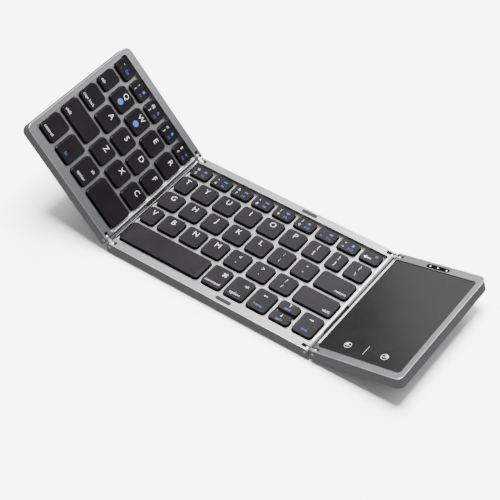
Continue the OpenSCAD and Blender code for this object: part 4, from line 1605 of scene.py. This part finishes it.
@dataclass
class Films:
    """The flat cables across the folds, each in two halves, shaped at rest with a bend near both pins of its
    links.
    """

    finishes: Finishes
    thick: float = 0.2
    notch: float = 1.5
    lip_wing: float = 3.2
    steps: int = 24

    def knots(self, fold: Fold) -> Array:
        """The cable's path at rest: out of the centre panel's slit, over the gap and into the wing's slit.

        Args:
            fold: The fold that the cable crosses.

        Returns:
            5 x 2 array of x and z, with the middle of the gap as the third point.
        """
        drop = SIZES.pin_drop
        centre = np.array((fold.side * (CENTRE_W / 2 - drop), PIN_Z))
        wing = np.array(hinge_point(fold.side, fold.link))
        flat = np.array((float(fold.side), 0.0))
        out = np.array((fold.side * math.cos(math.radians(fold.wing)), math.sin(math.radians(fold.wing))))
        a, b = centre + flat * (drop - fold.lip), centre + flat * (drop - self.notch)
        c, d = wing - out * (drop - self.notch), wing - out * (drop - self.lip_wing)
        return np.array((a, b, (b + c) / 2, c, d))

    def half(self, fold: Fold, inner: bool) -> Piece:
        """One half of a cable: from the centre panel to the links, or from the links to the wing.

        Args:
            fold: The fold that the cable crosses.
            inner: Whether this is the half on the centre panel's side.

        Returns:
            The piece, shaped at rest with a bend near one joint.
        """
        knots = self.knots(fold)
        run = knots[:3] if inner else knots[2:]
        stops = np.arange(3.0)
        at = np.linspace(0.0, 2.0, 2 * self.steps + 1)
        path = np.column_stack((np.interp(at, stops, run[:, 0]), np.interp(at, stops, run[:, 1])))
        along = unit(np.gradient(path, axis=0))
        lift = np.array((-1.0, -1.0, 1.0, 1.0)) * self.thick / 2
        across = np.array((-1.0, 1.0, 1.0, -1.0)) * fold.wide / 2
        x = path[:, None, 0] - along[:, None, 1] * lift
        z = path[:, None, 1] + along[:, None, 0] * lift
        points = MM * np.stack((x, np.broadcast_to(fold.y + across, x.shape), z), axis=-1)
        last = 4 * len(path)
        ends = np.array(((3, 2, 1, 0), (last - 4, last - 3, last - 2, last - 1)))
        shape = Shape()
        shape.add(points.reshape(-1, 3), np.concatenate((grid_faces(len(path), 4, True), ends)))
        made = shape.build(f"{fold.name}_flex_{'inner' if inner else 'outer'}", [self.finishes.film])
        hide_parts(f"{fold.name}_flex")
        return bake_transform(made)


# ---------------------------------------------------------------- touchpad wing


@dataclass
class TouchWing:
    """Printed marks and lights of the right wing. Places across it are measured from the fold's pin.

    A click sign is a ring with a quarter slice and a bar. The divider is its x, front end and rear end.
    """

    finishes: Finishes
    pad_top: float = 7.3
    print_lift: float = 0.012
    mark_r: float = 2.35
    mark_line: float = 0.26
    slice_r: Pair = (0.2, 1.73)
    bar: float = 0.22
    bar_in: float = 0.2
    bar_front: float = 0.25
    divider_line: float = 0.17
    mark_x: Pair = (16.3, 41.8)
    mark_y: float = 13.9
    divider: Triple = (28.8, 10.4, 17.9)
    light_x: tuple[float, ...] = (23.4, 28.6, 34.8)
    light_y: float = 94.3
    light_r: float = 0.38
    light_high: float = 0.08

    def marks(self) -> Piece:
        """Left and right click signs, with the line between them.

        Returns:
            The piece, riding on the right wing.
        """
        y, r, line = self.mark_y, self.mark_r, self.mark_line
        half, low, step = r - self.bar_in, y - self.bar_front, 0.002
        flats: list[tuple[Flat, float]] = []
        for x, start in zip(self.mark_x, (90.0, 0.0)):
            flats.append((ring((x, y), r - line, r), 0.0))
            flats.append((ring((x, y), *self.slice_r, start, start + 90.0), step))
            flats.append((stroke((x - half, low), (x + half, low), self.bar), 2 * step))
        x, front, rear = self.divider
        flats.append((stroke((x, front), (x, rear), self.divider_line), 0.0))
        shape = Shape()
        for (points, faces), lift in flats:
            z = np.full(len(points), self.pad_top + self.print_lift + lift)
            shape.add(RIGHT.place(np.column_stack((points[:, 0] + SIZES.pin_drop, points[:, 1], z))), faces)
        made = shape.build("touch_marks", [self.finishes.white])
        return settle(made, Side.RIGHT.value)

    def lamps(self) -> Piece:
        """Three small lights on the window, each a low dome whose height falls as the distance squared.

        Returns:
            The piece, riding on the right wing.
        """
        shape = Shape()
        n, lift = 24, 0.005
        a = np.linspace(0.0, TAU, n + 1)[:-1]
        share = np.array((1.0, 0.8, 0.55, 0.3))
        flat = share[:, None, None] * self.light_r * np.column_stack((np.cos(a), np.sin(a)))
        high = np.broadcast_to((self.light_high * (1.0 - share**2))[:, None, None], flat.shape[:2] + (1,))
        dome = np.concatenate((flat, high), axis=2).reshape(-1, 3)
        dome = np.concatenate((dome, [[0.0, 0.0, self.light_high]]))
        rings = len(share)
        last = (rings - 1) * n + np.arange(n)
        tip = np.column_stack((last, (rings - 1) * n + (np.arange(n) + 1) % n, np.full(n, rings * n)))
        for x in self.light_x:
            placed = RIGHT.place(dome + np.array((x + SIZES.pin_drop, self.light_y, SIZES.thick + lift)))
            shape.add(placed, grid_faces(rings, n, True))
            shape.add(placed, tip)
        made = shape.build("indicator_lights", [self.finishes.light])
        return settle(made, Side.RIGHT.value)


# ---------------------------------------------------------------- light, floor and camera


@dataclass(frozen=True)
class Lamp:
    """A soft square studio light aimed at a point."""

    name: str
    place: Triple
    size: float
    power: float
    aim: Triple = (0.0, 0.0, 0.02)

    def hang(self) -> Piece:
        """Makes the light.

        Returns:
            The light's object.
        """
        data = bpy.data.lights.new(self.name, "AREA")
        data.shape = "SQUARE"
        data.size = self.size
        data.energy = self.power
        lamp = bpy.data.objects.new(self.name, data)
        bpy.context.scene.collection.objects.link(lamp)
        lamp.location = self.place
        way = Vector(self.aim) - Vector(self.place)
        lamp.rotation_mode = "QUATERNION"
        lamp.rotation_quaternion = way.to_track_quat("-Z", "Y")
        return lamp


@dataclass
class Studio:
    """Pale floor, pale surround, soft lights and the camera."""

    lens: float = 112.11
    sky: float = 0.48
    reach: float = 4.0
    level: float = 2.0
    rise: float = 0.08
    place: Triple = (0.39412, -0.54896, 0.69503)
    right: Triple = (0.81128, 0.58465, 0.00059)
    ahead: Triple = (-0.40919, 0.56854, -0.71367)
    lamps: tuple[Lamp, ...] = (
        Lamp("top_light", (0.0, 0.13, 1.49), 0.7, 165.0),
        Lamp("rear_light", (-0.19, 1.1, 1.0), 0.6, 17.5),
        Lamp("rear_left_light", (-0.375, 0.65, 1.3), 0.6, 6.0),
        Lamp("rear_right_light", (0.375, 0.65, 1.3), 0.6, 3.8),
        Lamp("low_right_light", (0.61, 1.06, 0.86), 0.6, 5.2),
        Lamp("low_left_light", (-0.61, 1.06, 0.86), 0.6, 2.2),
    )

    def camera(self) -> None:
        """Sets the camera up for a square picture, with no shift and no depth of field."""
        data = bpy.data.cameras.new("camera")
        data.sensor_fit = "HORIZONTAL"
        data.sensor_width = 36.0
        data.lens = self.lens
        data.clip_start, data.clip_end = 0.01, 50.0
        made = bpy.data.objects.new("camera", data)
        bpy.context.scene.collection.objects.link(made)
        back = -Vector(self.ahead).normalized()
        across = Vector(self.right).normalized()
        up = back.cross(across).normalized()
        turn = Matrix((across, up, back)).transposed()
        made.matrix_world = Matrix.Translation(Vector(self.place)) @ turn.to_4x4()
        bpy.context.scene.camera = made

    def floor(self) -> None:
        """A wide level sheet that rises far away as the distance squared, so that no edge shows."""
        n, below = 41, 0.00002
        u = np.linspace(-self.reach, self.reach, n)
        x, y = (grid.ravel() for grid in np.meshgrid(u, u))
        far = np.maximum(np.hypot(x, y) - self.level, 0.0)
        shape = Shape()
        shape.add(np.column_stack((x, y, self.rise * far**2 - below)), grid_faces(n, n, False))
        tone = Nodes("floor_paper")
        cloud = tone.noise(tone.mapped(), 3.0)
        tone.join(tone.ramp(cloud, 0.3, 0.7, grey(0.86, 0.86), grey(0.9, 0.9)), "Base Color")
        tone.set(Roughness=0.9, Specular_IOR_Level=0.1)
        made = shape.build("floor", [tone.material])
        made.visible_glossy = False

    def surround(self) -> None:
        """An even white sky."""
        world = bpy.data.worlds.new("surround")
        world.use_nodes = True
        sky = world.node_tree.nodes["Background"].inputs
        sky["Color"].default_value = (1.0, 1.0, 1.0, 1.0)
        sky["Strength"].default_value = self.sky
        bpy.context.scene.world = world

    def build(self) -> None:
        """Sets the whole studio up."""
        self.camera()
        self.floor()
        self.surround()
        for lamp in self.lamps:
            lamp.hang()


def main() -> None:
    """Builds the keyboard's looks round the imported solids."""
    logging.basicConfig(level=logging.INFO, format="%(name)s: %(message)s")
    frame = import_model()
    finishes = Finishes()
    dress_solids(frame, finishes)
    Studio().build()
    maker = KeyMaker(finishes, Lettering())
    pieces = []
    for rows in (left_field(), centre_field()):
        pieces += [maker.make(node, caps, rows.panel) for node, caps in rows.caps.items()]
    trim = Trim(finishes)
    for panel in PANELS:
        pieces += [trim.bead(panel), trim.rim_edge(panel), trim.well_edge(panel), trim.fold_lip_highlight(panel)]
    films = Films(finishes)
    for fold in FOLDS:
        pieces += [films.half(fold, True), films.half(fold, False)]
    wing = TouchWing(finishes)
    pieces += [wing.marks(), wing.lamps()]
    for made in pieces:
        LOG.info("%s: %d faces", made.name, len(made.data.polygons))


if __name__ == "__main__":
    main()
